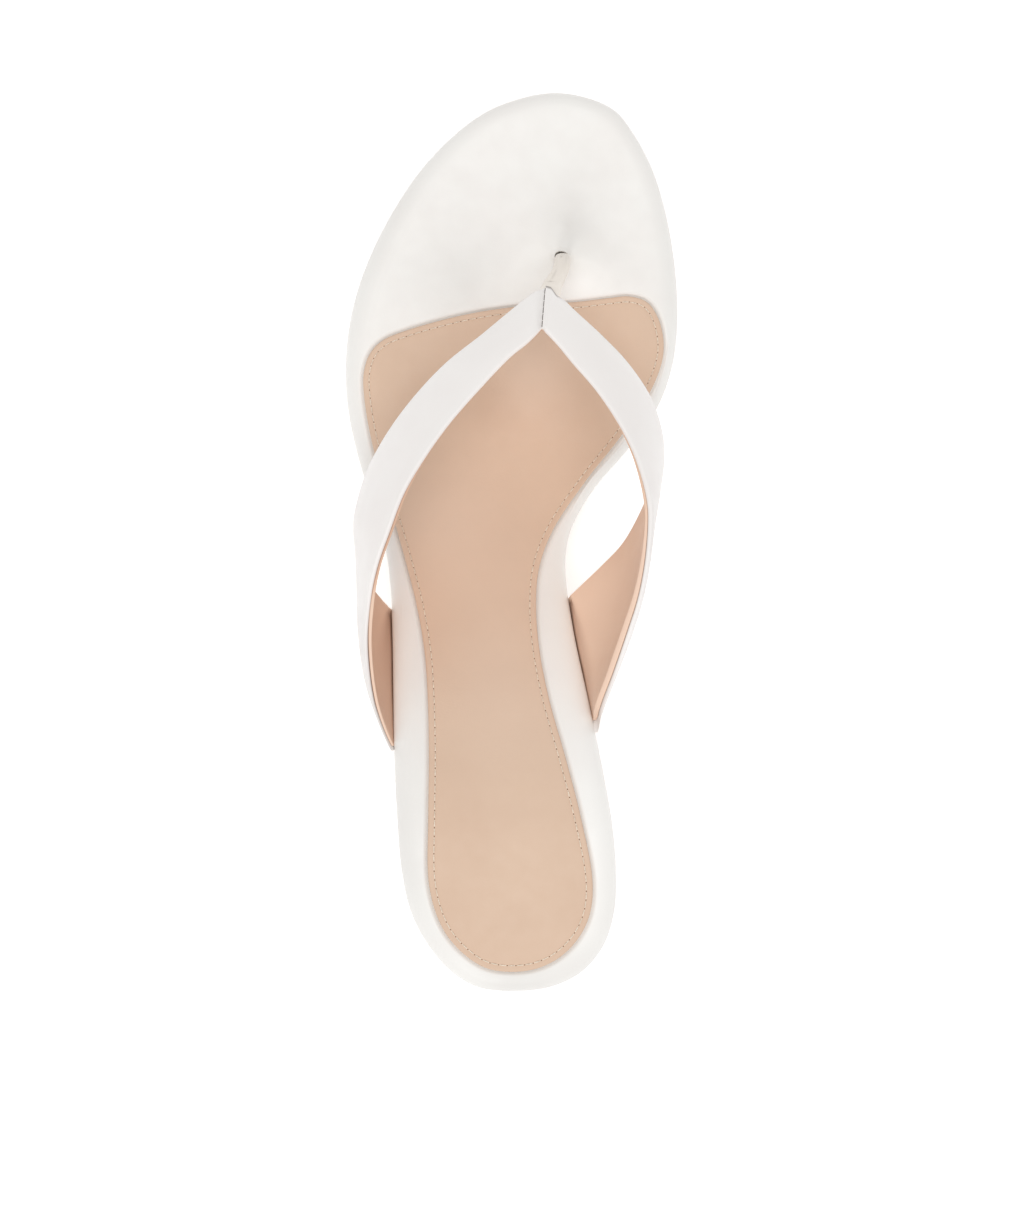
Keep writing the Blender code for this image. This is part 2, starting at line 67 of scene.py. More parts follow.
HEEL_REST_ALONG = 19.0
OUTSOLE_THICK = 2.7
OUTSOLE_INSET = 3.0
FOOTBED_BASE = 3.0
FOOTBED_TOP = 10.0
BREAST_ALONG = 50.0
HEEL_SEAT_INSET = 2.2
TOP_PIECE_THICK = 5.0
STRAP_THICK = 2.2
SOCK_BASE = -0.4
SOCK_THICK = 1.0
SOLE_LINE = table(
    "along rise",
    (-5, 46.9), (0, 46.7), (22, 45.7), (38, 44), (50, 41.2), (60, 37.6), (72, 32),
    (86, 24), (100, 15.6), (112, 8.9), (122, 4.1), (132, 1), (140, 0), (185, 0), (200, 0.8),
    (215, 2.6), (231, 5.6),
)
# The footbed's outline, then the sock's
RIM = table(
    "along lateral medial",
    (1.1, -8.9, 9.8), (5, -15.2, 17.6), (11.5, -20.9, 22.8), (20, -25.2, 25.4),
    (30, -27.4, 25.8), (42, -28.5, 24.8), (56, -29.4, 22.4), (72, -30, 19.2),
    (86, -30.6, 16.3), (98, -31.4, 14.5), (107, -32.6, 14), (115, -34.4, 15.4),
    (126, -38.2, 21.4), (137, -41.5, 30.8), (148, -43.7, 38.6), (158, -44.3, 42.4),
    (169, -43.5, 44), (180, -41, 43.9), (191, -36.7, 42.7), (202, -30.7, 40.4),
    (212, -23.5, 37), (221, -14.3, 31.9), (226.6, -5.8, 27), (230, 4.2, 18.6),
)
RIM_HEEL = (0.0, 0.0)
RIM_TOE = (11.0, 230.9)
RIM_CORNERS = ((-44.2, 161.0), (43.2, 165.0))
SOCK = table(
    "along lateral medial",
    (6.2, -6.3, 6.4), (9.2, -11.3, 12.2), (14.2, -16, 16.8), (20, -18.85, 19.3),
    (28, -20.6, 19.8), (44, -20.7, 16.8), (58, -20.7, 13.2), (72, -21.2, 9.3), (84, -22.3, 7),
    (95, -24.4, 6.2), (105, -27.1, 7), (115, -30.1, 10.6), (128, -34.2, 19.2),
    (140, -37.4, 28.6), (151, -39.2, 36), (157, -39.3, 38.8),
)
SOCK_HEEL = (-0.1, 5.3)
SOCK_FRONT = table(
    "across along",
    (-37.8, 162), (-34.5, 165.6), (-28.5, 168.2), (-13.2, 172.4), (1.1, 174.7), (17.5, 176),
    (26, 177), (31, 177.4), (35.6, 176), (38.4, 172.4), (40, 167.1), (40.1, 162),
)
SOCK_CORNERS = ((-36.6, 163.9), (39.3, 169.5))
ROLLED_EDGE = table(
    "inset share",
    (1.8, 0), (0.7, 0.12), (0.1, 0.3), (0, 0.42), (0.25, 0.58), (1, 0.75), (2.3, 0.89),
    (4, 0.97), (6.2, 1),
)
BAND_COLUMNS = "rear_x rear_y rear_z front_x front_y front_z bow"
SEAM = (7.6, 164.6, 45.0, 8.4, 174.6, 38.2, 0.2)
# The two bands' lining faces: their rear and front edges, row by row from the seam
MEDIAL_BAND = table(
    BAND_COLUMNS,
    SEAM,
    (11.1, 160.8, 46.6, 14.5, 168.5, 39.3, 0.4),
    (15.3, 155.7, 48.5, 21.1, 162.1, 40.8, 0.7),
    (21.4, 148, 51.7, 27.8, 154.6, 42.1, 0.9),
    (27.3, 137.7, 55.8, 33.5, 145.3, 41.9, 1),
    (30.6, 128.5, 59.3, 36.2, 135.4, 40, 0.9),
    (32.3, 119, 62.4, 35.4, 126.8, 37.6, 0.6),
    (31.7, 109.9, 63.5, 32.7, 119.3, 35, 0.6),
    (29.8, 99.5, 62.3, 28.5, 111.2, 32.2, 1.7),
    (27, 90, 59, 23.6, 105.6, 29.8, 3),
    (23.6, 79.5, 53.4, 19, 101, 27.7, 3.1),
    (20.5, 70.5, 47.3, 15.4, 97.5, 26.2, 2.3),
)
LATERAL_BAND = table(
    BAND_COLUMNS,
    SEAM,
    (3.9, 161, 46.6, 1.8, 169.1, 39.5, 0.4),
    (-1, 156.9, 48.2, -6.2, 162.2, 41.1, 0.6),
    (-8.9, 148.2, 51.4, -15.5, 154.5, 42.3, 0.8),
    (-15.7, 139.7, 54.7, -24.4, 144.7, 42.3, 1),
    (-21.4, 131.1, 58, -31.1, 135.4, 41.1, 1.3),
    (-26.1, 122.3, 60.5, -35.6, 126.9, 37.9, 1.2),
    (-29.6, 112.9, 61.8, -38.1, 117.2, 35, 2.3),
    (-32.3, 104.5, 61.4, -37, 108.4, 32.7, 2),
    (-33.8, 96, 59.6, -35.8, 100.4, 30.6, 1.9),
    (-34.6, 85.5, 55.6, -33.9, 97, 29, 2.2),
    (-33.2, 71.5, 49, -32.2, 94.8, 27.8, 2.2),
)
# Where each band runs on under the footbed: how far past its rim and above the sole line
TUCK = table(
    "outset height thick slant",
    (0.55, 7.4, 2.2, 0.7), (0.1, 5.9, 2.1, 1.2), (-0.5, 4.95, 1.9, 1.9), (-1.6, 4.9, 1.6, 1.9),
    (-7.5, 4.9, 1.6, 1.9),
)
TUCK_SPAN = {"medial": (67.4, 98.0), "lateral": (61.3, 95.1)}
# The toe post's middle line from its hole up to the seam, and its section by height
POST_LINE = table(
    "across along up",
    (13.4, 188, 5.9), (13.4, 187.8, 9), (13.3, 186.4, 16.5), (13, 183.9, 22.5),
    (12.3, 181.3, 27.7), (11.3, 179, 31.4), (10.4, 177.2, 33.8), (9.9, 175.7, 36.2),
    (9.2, 173, 38.7), (8.5, 169.5, 41),
)
POST_SECTION = table(
    "up width thick oval",
    (8, 3.9, 2.3, 0.95), (13, 4, 2.4, 0.85), (30, 4.3, 2.6, 0.7), (36, 5.3, 2.6, 0.7),
)
POST_HOLE = {
    "across": 13.25,
    "along": 188.05,
    "half_width": 1.95,
    "half_length": 1.6,
    "lean": -0.12,
}
HOLE_DEPTH = 3.6
HOLE_LIP = 0.25
REBATE_LIFT = 2.2
DIMPLE = table(SPOT, (13.6, 192, 6.5, 1.3))
HEEL = table(
    "level width length back",
    (0, 0.45, 0.44, 8.2), (0.15, 0.45, 0.44, 7.5), (0.35, 0.48, 0.47, 6.2),
    (0.55, 0.56, 0.55, 4.8), (0.72, 0.68, 0.67, 3.5), (0.86, 0.83, 0.83, 2.6),
    (0.95, 0.95, 0.95, 2.2), (1, 1, 1, 2.2),
)

# ---------------- sizes of what is added here

SIDE_POINTS = 150
FRONT_POINTS = 140
COARSE_COLUMNS = 14
STRAP_COLUMNS = 29
# Shares at which the first stretch of a band, next to the seam, is divided
NEAR_SEAM = [0, 0.03, 0.06, 0.1, 0.15, 0.21, 0.28, 0.36, 0.46, 0.58, 0.7, 0.85]

# Hollows above zero, and swells below, of the forefoot's padding
FOREFOOT_FORMS = table(
    SPOT,
    (14.5, 199.5, 4.2, 0.35), (18.5, 183, 4.5, -0.3), (-9, 182, 9, 0.25),
    (9, 218, 12, -0.25),
)
# Where the leather is drawn towards the toe post, with the heading in degrees
PULLS = table(
    "heading length half_width depth",
    (97, 15, 1.5, 0.16), (62, 10, 1.1, 0.12), (128, 9, 1.1, 0.12), (20, 7, 0.9, 0.08),
)
# Painted light and shade on the calf in soft round patches: paler above zero, darker below
FOOTBED_PAINTED_SHADING = table(
    SPOT,
    (-12, 182, 8, -0.1), (16, 194.5, 5, -0.09), (14, 209, 10, -0.04),
    (23, 190, 6, -0.04), (-16, 201, 9, -0.03), (5, 203, 30, -0.012),
    (17.5, 180, 3.2, 0.8), (-28, 187, 10, -0.03), (1, 0.5, 7, -0.13),
    (14, 7, 6, -0.05), (-22, 28, 9, -0.06), (-25, 46, 9, -0.05),
    (26, 36, 9, 0.25), (22, 58, 9, 0.3), (17, 78, 9, 0.35),
)
# Painted shade inside the toe post's hole
HOLE_PAINTED_SHADE = -0.97
# Distances from the sock's outline at which the footbed is divided closely, and the rings outside
FOOTBED_NEAR = np.array([1.9, 1.3, 0.9, 0.6, 0.35, 0.15, 0.0, -0.3])
FOOTBED_RINGS = 57

# A distance at which neither the rolled edge nor the sock's groove is felt
FAR_INSIDE = 9.0
# Circles round the toe post's hole in which the faces are divided, then the one laid on the surface
HOLE_FINE = (5.5, 4.2, 3.2)
HOLE_RELAID = 6.0

SOCK_GROOVE = {"depth": 0.62, "width": 0.7}
SOCK_STITCH_INSET = 1.6
# The sock's face: how its edge rounds off, the trough of its stitching and the pad inside it
SOCK_ROUND = {"drop": 0.38, "width": 0.6}
SOCK_TROUGH = {"depth": 0.1, "width": 0.45}
SOCK_PAD = {"rise": 0.3, "from": 2.2, "to": 9.0}
SOCK_RINGS = (0.06, 0.16, 0.3, 0.5, 0.75, 1.05, 1.4, 1.7, 1.9, 2.1, 2.3, 2.5, 2.8, 3.2)
# Where painted light makes the sock's dye paler, and how much
SOCK_PAINTED_LIGHT = table(
    SPOT,
    (-20, 118, 12, 0.35), (-6, 98, 18, 0.22), (0, 72, 14, 0.28),
    (6, 159, 8, 0.55),
)

# The sole's edge, bevelled top and bottom, and the closed stitching channel inside it
SOLE_EDGE = table(
    "inset up",
    (0.5, OUTSOLE_THICK), (0.12, OUTSOLE_THICK - 0.08), (0, OUTSOLE_THICK - 0.4), (0, 0.75),
    (0.05, 0.45), (0.22, 0.2), (0.5, 0.05), (0.9, 0), (3.6, 0), (3.9, 0.1), (4.2, 0),
    (4.8, 0),
)
SOLE_COLUMNS = 21
SEAT_CORNER = 1.6
# How the heel's front face is hollowed, and how its foot draws in over the top piece
HEEL_HOLLOW = {"depth": 1.4, "from": 0.55, "half_width": 26}
HEEL_FOOT = (0, -0.03, -0.03, 0.7)
TOP_PIECE_GAP = 0.15
TOP_PIECE_HALF = 11.0
TOP_PIECE_EDGE = table(
    "inset up",
    (0.6, 0), (0.15, 0.12), (0, 0.5), (0, TOP_PIECE_THICK - 0.3), (0.3, TOP_PIECE_THICK),
)

# The white layer: what padding adds, its painted light and shade by row, and how far its rear
# corner runs on past the lining's
PADDING = table(
    BY_ROW,
    (1, 0, 0), (4, 0.2, 0.1), (6.5, 0.1, 0), (8.5, 0.65, 0), (11.5, 0.8, 0),
    (12.5, 0.5, 0), (13.5, 0, 0),
)
BAND_PAINTED_SHADING = table(
    BY_ROW,
    (0, 0.3, 0.3), (3, 0.2, 0.25), (5.5, 0, 0.1), (7, -0.05, 0), (8.5, 0, 0),
    (10, 0, -0.08), (12, 0, -0.1),
)
TRAIL = table(
    BY_ROW,
    (9.5, 0, 0), (11, 1.3, 0.5), (12, 3.2, 1.5), (14, 3.6, 1.6), (16, 2, 1),
)
TRAIL_DROP = 0.36
SKIVE = {"width": 0.35, "thinned": 0.45, "drawn_in": 0.45, "from_row": 11.0, "to_row": 12.5}
BAND_EDGE_OUT = 0.4
# The white layer's crown across the band and its faint waves along it
CROWN = {"rise": 0.12, "width": 3.0}
WAVES = {"height": 0.05, "length": 7.0, "slant": 2.0, "from": 3, "to": 12}
# Beside the seam the outer band sinks softly and the inner one stands up with a crisp edge
SEAM_DIP = {
    "lateral": {"depth": 0.95, "width": 1.8, "swell": 0.0, "reach": 5.0},
    "medial": {"depth": 0.6, "width": 0.45, "swell": 0.35, "reach": 5.0},
}
# The inner band's front corner over the toe post: the painted shade along its edge, and how it is
# drawn back
CORNER = {"painted_shading": -0.9, "from": 2.6, "to": 5.5, "drawn_back": 1.0, "row": 0.28, "spread": 0.2}

# The lining's share of the band's thickness, at the seam and at the tuck, and the rows between
LINING_SHARE = {"medial": (0.33, 0.52), "lateral": (0.31, 0.43)}
LINING_GROWS = {"medial": (6.0, 8.5), "lateral": (7.6, 9.4)}
# The lining's trimmed edge: how far past the corner, how far into its thickness, and its colour,
# from 0 for the kid's face through 1 for the pale trimmed edge to 2 for painted shade in the gap
# under the white
LINING_CUT = table(
    "out depth cut",
    (0, 0, 0), (0.5, 0, 0.3), (0.78, 0, 1), (0.92, 0.12, 1), (0.93, 0.7, 1),
    (0.88, 0.92, 1.8), (0.6, 1, 2),
)
# The lining swells a little along its edges and waves faintly; its cut edge comes out by these rows
PILLOW = {"edge": 0.08, "width": 2.5, "wave": 0.03}
CUT_REACH = {"least": 0.4, "more": 0.6, "from": 4.5, "to": 6.8}
# Rows of the bands over which the painted shade of the gap under the white comes into sight, and
# its strength
GAP_SHADE_SHOWS = {"medial": (5.5, 7.5, 0.4), "lateral": (8.8, 10.2, 0.85)}
# The trimmed edge: rows over which it comes into the light, and its value before them: painted
# shade on the outer band, painted light on the inner one
CUT_SHOWS = {"medial": (5.8, 7.0, 0.1), "lateral": (8.2, 9.2, -0.08)}
# Rows over which the lining darkens towards the footbed, as painted shade of the crevice
LINING_CREVICE_SHADE = {"painted_shading": -0.5, "from": 10.8, "to": 11.8}

# Creases of the post's toe side, up the strip and across it, and the painted shade of the deepest
CREASE_PAINTED_SHADE = -1.1
POST_SECTIONS = 18
POST_POINTS = 64
POST_CREASES = table(
    "up aside half_length half_width depth",
    (27.6, -0.6, 3, 0.25, 0.2),
    (31.4, -0.5, 0.4, 0.9, 0.3),
    (13, -0.3, 1.7, 0.22, 0.24),
    (15, 1, 6, 0.5, 0.08),
)

SOCK_SEWING = {"Pitch": 2.15, "Length": 1.6, "Thread": 0.32, "Sink": 0.12}
SOCK_HOLES = {"Pitch": 2.15, "Length": 2.15, "Thread": 0.21, "Sink": 0.02}
# How far the seam's threads lie above the sunk outer band
SEAM_LIFT = 0.25
SEAM_SEWING = {"Pitch": 1.9, "Length": 1.75, "Thread": 0.4, "Sink": 0.1}

# The stage, in metres and watts
FLOOR_REACH = 4.0
AIM = Vector((0.0, 0.09, 0.03))
CAMERA = {"place": (0.0, 0.07373, 0.65), "sensor": 24.0, "lens": 47.064935}
LIGHTS = {
    "key_box": {"place": (-0.19, -0.79, 0.93), "size": 0.42, "power": 2.9},
    "top_box": {"place": (0.05, 0.12, 1.5), "size": 1.0, "power": 7.9},
}


# ---------------- curves and heights


def rise(along):
    """Height of the tread face, smooth between the rows and level between equal ones."""
    known, height = SOLE_LINE["along"], SOLE_LINE["rise"]
    steps = np.diff(known)
    slopes = np.diff(height) / steps
    same_way = slopes[:-1] * slopes[1:] > 0
    weighted = 2 * slopes[:-1] * slopes[1:] / np.where(same_way, slopes[:-1] + slopes[1:], 1)
    tangents = np.concatenate([slopes[:1], np.where(same_way, weighted, 0), slopes[-1:]])
    index = np.clip(np.searchsorted(known, along) - 1, 0, len(steps) - 1)
    step = steps[index]
    part = (along - known[index]) / step
    start = (1 + 2 * part) * (1 - part) ** 2 * height[index]
    end = part**2 * (3 - 2 * part) * height[index + 1]
    leave = part * (1 - part) ** 2 * step * tangents[index]
    arrive = part**2 * (part - 1) * step * tangents[index + 1]
    return start + end + leave + arrive


def curve(points, steps, closed=False):
    """A smooth line through points. steps is how many parts each interval has, or its shares."""
    points = np.asarray(points, float)
    before, after = points[-1:], points[:2]
    if not closed:
        before, after = 2 * points[:1] - points[1:2], 2 * points[-1:] - points[-2:-1]
    held = np.concatenate([before, points, after])
    lengths = np.linalg.norm(np.diff(held, axis=0).reshape(len(held) - 1, -1), axis=1)
    times = np.sqrt(lengths)
    made = []
    for k in range(1, len(held) - 2):
        before, first, second, after = held[k - 1 : k + 3]
        enter, cross, leave = times[k - 1 : k + 2]
        step = second - first
        start = step + cross * ((first - before) / enter - (second - before) / (enter + cross))
        end = step + cross * ((after - second) / leave - (after - first) / (leave + cross))
        shares = steps[k - 1] if isinstance(steps, list) else np.arange(steps) / steps
        for part in shares:
            turn = part * (1 - part) * ((1 - part) * (start - step) - part * (end - step))
            made.append(first + part * step + turn)
    if not closed:
        made.append(points[-1])
    return np.array(made)


def soft_step(low, high, value):
    part = np.clip((value - low) / (high - low), 0, 1)
    return part * part * (3 - 2 * part)


def spots(data, across, along):
    """Soft round mounds of a table, added up at points of the plan."""
    total = np.zeros_like(across)
    for x, y, spread, amount in zip(*data.values()):
        total += amount * np.exp(-((across - x) ** 2 + (along - y) ** 2) / (2 * spread**2))
    return total


def unit(vectors):
    return vectors / np.linalg.norm(vectors, axis=-1, keepdims=True)


def look_up(at, known, values):
    """Each column of values, read between the known places."""
    return np.stack([np.interp(at, known, column) for column in values.T], axis=1)


def run_length(line):
    """Distance of each point from the first, along the line."""
    steps = np.linalg.norm(np.diff(line, axis=0), axis=-1)
    return np.concatenate([np.zeros_like(steps[:1]), np.cumsum(steps, axis=0)])


def plan_facing(outline):
    """Directions square to a closed outline in the plan, outwards."""
    run = np.roll(outline, -1, axis=0) - np.roll(outline, 1, axis=0)
    return unit(np.stack([-run[:, 1], run[:, 0]], axis=1))


class Loop:
    """A closed plan outline, read at stations that match those of other outlines.

    The stations go from the heel up the outer side, across the front and down the inner side.
    """

    def __init__(self, points, corners):
        self.dense = curve(points, 24, closed=True)
        closed = np.concatenate([self.dense, self.dense[:1]])
        facing = plan_facing(self.dense)
        length = run_length(closed)
        gaps = [np.linalg.norm(self.dense - corner, axis=1) for corner in corners]
        marks = [0.0, *(length[np.argmin(gap)] for gap in gaps), length[-1]]
        counts = (SIDE_POINTS, FRONT_POINTS, SIDE_POINTS)
        stretches = [np.linspace(*marks[k : k + 2], counts[k], endpoint=False) for k in range(3)]
        stations = np.concatenate(stretches)
        self.plan = look_up(stations, length, closed)
        self.facing = unit(look_up(stations, length, np.concatenate([facing, facing[:1]])))

    def ring(self, outset=0.0):
        return self.plan + outset * self.facing

    def distance(self, plan):
        """How far plan points are from the outline."""
        nearest = np.empty(len(plan))
        following = np.roll(self.dense, -1, axis=0) - self.dense
        squared = (following**2).sum(axis=1)
        for start in range(0, len(plan), 2000):
            away = plan[start : start + 2000, None] - self.dense
            part = np.clip((away * following).sum(axis=2) / squared, 0, 1)[..., None]
            gap = np.linalg.norm(away - part * following, axis=2)
            nearest[start : start + 2000] = gap.min(axis=1)
        return nearest

    def side(self, side, along, outset=0.0):
        """Plan points of one side at distances along, moved out square to the outline."""
        reach = SIDE_POINTS + 20
        keep = slice(reach) if side == "lateral" else slice(None, -reach - 1, -1)
        plan, facing = self.plan[keep], self.facing[keep]
        known = plan[:, 1]
        return look_up(along, known, plan) + outset * unit(look_up(along, known, facing))


def outline(data, heel, front):
    """Points round a table of sides, from the heel up the outer side and down the inner one."""
    outer, inner = stack(data, "lateral along"), stack(data, "medial along")
    return np.concatenate([[heel], outer, front, inner[::-1]])


rim = Loop(outline(RIM, RIM_HEEL, [RIM_TOE]), RIM_CORNERS)
sock = Loop(outline(SOCK, SOCK_HEEL, stack(SOCK_FRONT, "across along")), SOCK_CORNERS)

# The rolled edge in finer steps, and the step at which it turns over onto the top
ROLL = curve(stack(ROLLED_EDGE, "inset share"), 4)
ROLL_CREST = 28


def tuck_window(side, along):
    """1 over the stretch where a band goes under the footbed, and 0 away from it."""
    low, high = TUCK_SPAN[side]
    return soft_step(low - 1.3, low - 0.3, along) * (1 - soft_step(high - 1.5, high - 0.5, along))


def footbed_base(across, along):
    """The footbed's underside, cut away where the ends of the bands go in."""
    outer = tuck_window("lateral", along) * soft_step(-4, -8, across)
    inner = tuck_window("medial", along) * soft_step(2, 6, across)
    return rise(along) + FOOTBED_BASE + REBATE_LIFT * np.maximum(outer, inner)


def hole_reach(across, along):
    """Distance from the middle of the toe post's hole, 1 at its edge."""
    aside = across - POST_HOLE["across"]
    ahead = along - POST_HOLE["along"] - POST_HOLE["lean"] * aside
    return np.hypot(aside / POST_HOLE["half_width"], ahead / POST_HOLE["half_length"])


def pull_lines(across, along):
    """Shallow troughs that fan out from the toe post."""
    total = np.zeros_like(across)
    away_x, away_y = across - POST_HOLE["across"], along - POST_HOLE["along"]
    for heading, length, half_width, depth in zip(*PULLS.values()):
        turn = math.radians(heading)
        forward = away_x * math.cos(turn) + away_y * math.sin(turn)
        aside = -away_x * math.sin(turn) + away_y * math.cos(turn)
        width = half_width * (1 + 0.08 * np.maximum(forward, 0))
        fade = soft_step(0.5, 2.5, forward) * (1 - soft_step(0.35 * length, length, forward))
        total += depth * fade * np.exp(-((aside / width) ** 2))
    return total


def footbed_surface(across, along, from_rim, from_sock):
    """The wrapped footbed's upper surface, pulled in round the toe post and along the sock."""
    inset, share = ROLL[ROLL_CREST - 8 :].T
    low = footbed_base(across, along)
    up = low + (rise(along) + FOOTBED_TOP - low) * np.interp(from_rim, inset, share)
    pressed = spots(DIMPLE, across, along) + spots(FOREFOOT_FORMS, across, along)
    up -= pressed + pull_lines(across, along)
    up -= SOCK_GROOVE["depth"] * np.exp(-((from_sock / SOCK_GROOVE["width"]) ** 2))
    reach = hole_reach(across, along)
    up -= HOLE_DEPTH * (1 - soft_step(0.8, 1.0, reach))
    return up - HOLE_LIP * (1 - soft_step(1.0, 1.8, reach))


def sock_surface(across, along):
    """The sock's face: rounded at its edge, drawn down by its stitches, soft in the middle."""
    inset = sock.distance(np.column_stack([across, along]))
    up = rise(along) + FOOTBED_TOP + SOCK_BASE + SOCK_THICK - spots(DIMPLE, across, along)
    edge = 1 - np.clip(inset / SOCK_ROUND["width"], 0, 1)
    up -= SOCK_ROUND["drop"] * (1 - np.sqrt(1 - edge**2))
    sewn = (inset - SOCK_STITCH_INSET) / SOCK_TROUGH["width"]
    up -= SOCK_TROUGH["depth"] * np.exp(-(sewn**2))
    return up + SOCK_PAD["rise"] * soft_step(SOCK_PAD["from"], SOCK_PAD["to"], inset)


# ---------------- mesh building


def over(plan, surface):
    """Points above a plan, on a surface given by a function of across and along."""
    return np.column_stack([plan, surface(*plan.T)])


def above_sole(up):
    """The surface that lies a height above the sole line."""
    return lambda across, along: rise(along) + up


class Shell:
    """Gathers the points and faces of one piece, in millimetres along and across."""

    def __init__(self):
        self.points = []
        self.faces = []
        self.values = []

    def add(self, points, value=0.0):
        start = len(self.points)
        self.points.extend(np.asarray(points, float))
        self.values.extend(np.broadcast_to(value, len(points)))
        return list(range(start, len(self.points)))

    def skin(self, rings):
        """Faces between rings of the same number of points, each closed on itself."""
        for lower, upper in zip(rings, rings[1:]):
            for k in range(len(lower)):
                after = (k + 1) % len(lower)
                self.faces.append((lower[k], lower[after], upper[after], upper[k]))

    def tube(self, rings):
        """A skin with both of its ends closed."""
        self.skin(rings)
        self.faces += [tuple(rings[0]), tuple(rings[-1])]

    def grid(self, rows):
        """Faces between rows of the same number of points, each pole named more than once."""
        for near, far in zip(rows, rows[1:]):
            for k in range(len(near) - 1):
                self.faces.append(tuple(dict.fromkeys((near[k], near[k + 1], far[k + 1], far[k]))))

    def fill(self, ring, surface, columns):
        """Closes a ring laid out as a Loop is, with rows across it that follow its front."""
        plan = np.array([self.points[k][:2] for k in ring])
        step = FRONT_POINTS // columns
        front = list(range(SIDE_POINTS, SIDE_POINTS + FRONT_POINTS + 1, step))
        share = np.linspace(0, 1, columns + 1)[:, None]
        bulge = plan[front] - (plan[front[0]] + share * (plan[front[-1]] - plan[front[0]]))
        level = (plan[front[0], 1] + plan[front[-1], 1]) / 2
        reach = level - max(60.0, 2.5 * np.abs(bulge[:, 1]).max())
        rows = [[ring[0]] * (columns + 1)]
        for k in range(1, SIDE_POINTS):
            left, right = plan[k], plan[-k]
            follow = np.clip((left[1] + right[1]) / 2 - reach, 0, None) / (level - reach)
            inner = left + share * (right - left) + follow**2 * bulge
            rows.append([ring[k], *self.add(over(inner, surface)[1:-1]), ring[-k]])
        self.grid(rows)
        for k in range(columns):
            along_front = [ring[j] for j in range(front[k + 1], front[k] - 1, -1)]
            self.faces.append((rows[-1][k], rows[-1][k + 1], *along_front))

    def mesh(self, name, value_name=None):
        """The piece's mesh, its value kept under a name for the finish to read."""
        data = bpy.data.meshes.new(name)
        points = np.array(self.points)
        points[:, 1] -= HEEL_REST_ALONG
        data.from_pydata((points * MM).tolist(), [], [list(map(int, face)) for face in self.faces])
        if value_name:
            keep_value(data, value_name, self.values)
        work = bmesh.new()
        work.from_mesh(data)
        bmesh.ops.remove_doubles(work, verts=work.verts, dist=1e-7)
        bmesh.ops.recalc_face_normals(work, faces=work.faces)
        work.to_mesh(data)
        work.free()
        data.shade_smooth()
        return data


def keep_value(data, name, values):
    attribute = data.attributes.new(name, "FLOAT", "POINT")
    attribute.data.foreach_set("value", np.array(values, np.float32))


def new_object(name, data):
    obj = bpy.data.objects.new(name, data)
    bpy.context.scene.collection.objects.link(obj)
    return obj


def finish_piece(data, material, stands_for=None, sharp=None):
    """Makes the object, gives it its finish and lets it ride on the shoe."""
    data.materials.clear()
    data.materials.append(material)
    if sharp:
        data.set_sharp_from_angle(angle=math.radians(sharp))
    obj = new_object(data.name, data)
    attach(obj, "root")
    if stands_for:
        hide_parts(stands_for)


# ---------------- materials


class Tree:
    """Short ways to add nodes to a node tree."""

    def __init__(self, tree):
        self.tree = tree

    def feed(self, socket, value):
        """Links a socket to another one, or sets it to a constant."""
        if isinstance(value, bpy.types.NodeSocket):
            self.tree.links.new(value, socket)
        else:
            socket.default_value = value

    def add(self, kind, inputs, result=0, **settings):
        """Adds a node, feeds its inputs and gives back one of its outputs."""
        node = self.tree.nodes.new(kind)
        for key, value in settings.items():
            setattr(node, key, value)
        for key, value in inputs.items():
            self.feed(node.inputs[key], value)
        return node.outputs[result]

    def math(self, operation, first, second):
        return self.add("ShaderNodeMath", {0: first, 1: second}, operation=operation)


class Finish(Tree):
    """A Principled material built up from procedural layers."""

    def __init__(self, name, roughness, specular=0.5):
        self.material = bpy.data.materials.new(name)
        self.material.use_nodes = True
        super().__init__(self.material.node_tree)
        self.surface = self.tree.nodes["Principled BSDF"].inputs
        self.surface["Roughness"].default_value = roughness
        self.surface["Specular IOR Level"].default_value = specular
        self.place = self.add("ShaderNodeTexCoord", {}, "Object")

    def noise(self, scale, detail=3.0, rough=0.5):
        inputs = {"Vector": self.place, "Scale": scale, "Detail": detail, "Roughness": rough}
        return self.add("ShaderNodeTexNoise", inputs, "Fac")

    def cells(self, scale):
        return self.add("ShaderNodeTexVoronoi", {"Vector": self.place, "Scale": scale}, "Distance")

    def ramp(self, value, low, high, start, end):
        ends = {"Value": value, "From Min": low, "From Max": high, "To Min": start, "To Max": end}
        return self.add("ShaderNodeMapRange", ends, "Result")

    def blend(self, value, low, high, first, second):
        """A colour that goes from the first to the second while a value goes from low to high."""
        inputs = {0: self.ramp(value, low, high, 0, 1), 6: first, 7: second}
        return self.add("ShaderNodeMix", inputs, 2, data_type="RGBA")

    def attribute(self, name):
        return self.add("ShaderNodeAttribute", {}, "Fac", attribute_name=name)

    def color(self, value):
        self.feed(self.surface["Base Color"], value)

    def polish(self, value, low, high):
        """Roughness that follows a noise."""
        self.feed(self.surface["Roughness"], self.ramp(value, 0.3, 0.7, low, high))

    def relief(self, height, strength, depth):
        """Bump, its depth in metres. It may be called again for a second layer."""
        under = self.surface["Normal"]
        inputs = {"Height": height, "Strength": strength, "Distance": depth}
        if under.is_linked:
            inputs["Normal"] = under.links[0].from_socket
        self.feed(under, self.add("ShaderNodeBump", inputs))


def srgb(*levels):
    """A colour from its 0 to 255 values, as the shader takes it."""
    shares = [level / 255 for level in levels]
    return (*(v / 12.92 if v <= 0.04045 else ((v + 0.055) / 1.055) ** 2.4 for v in shares), 1.0)


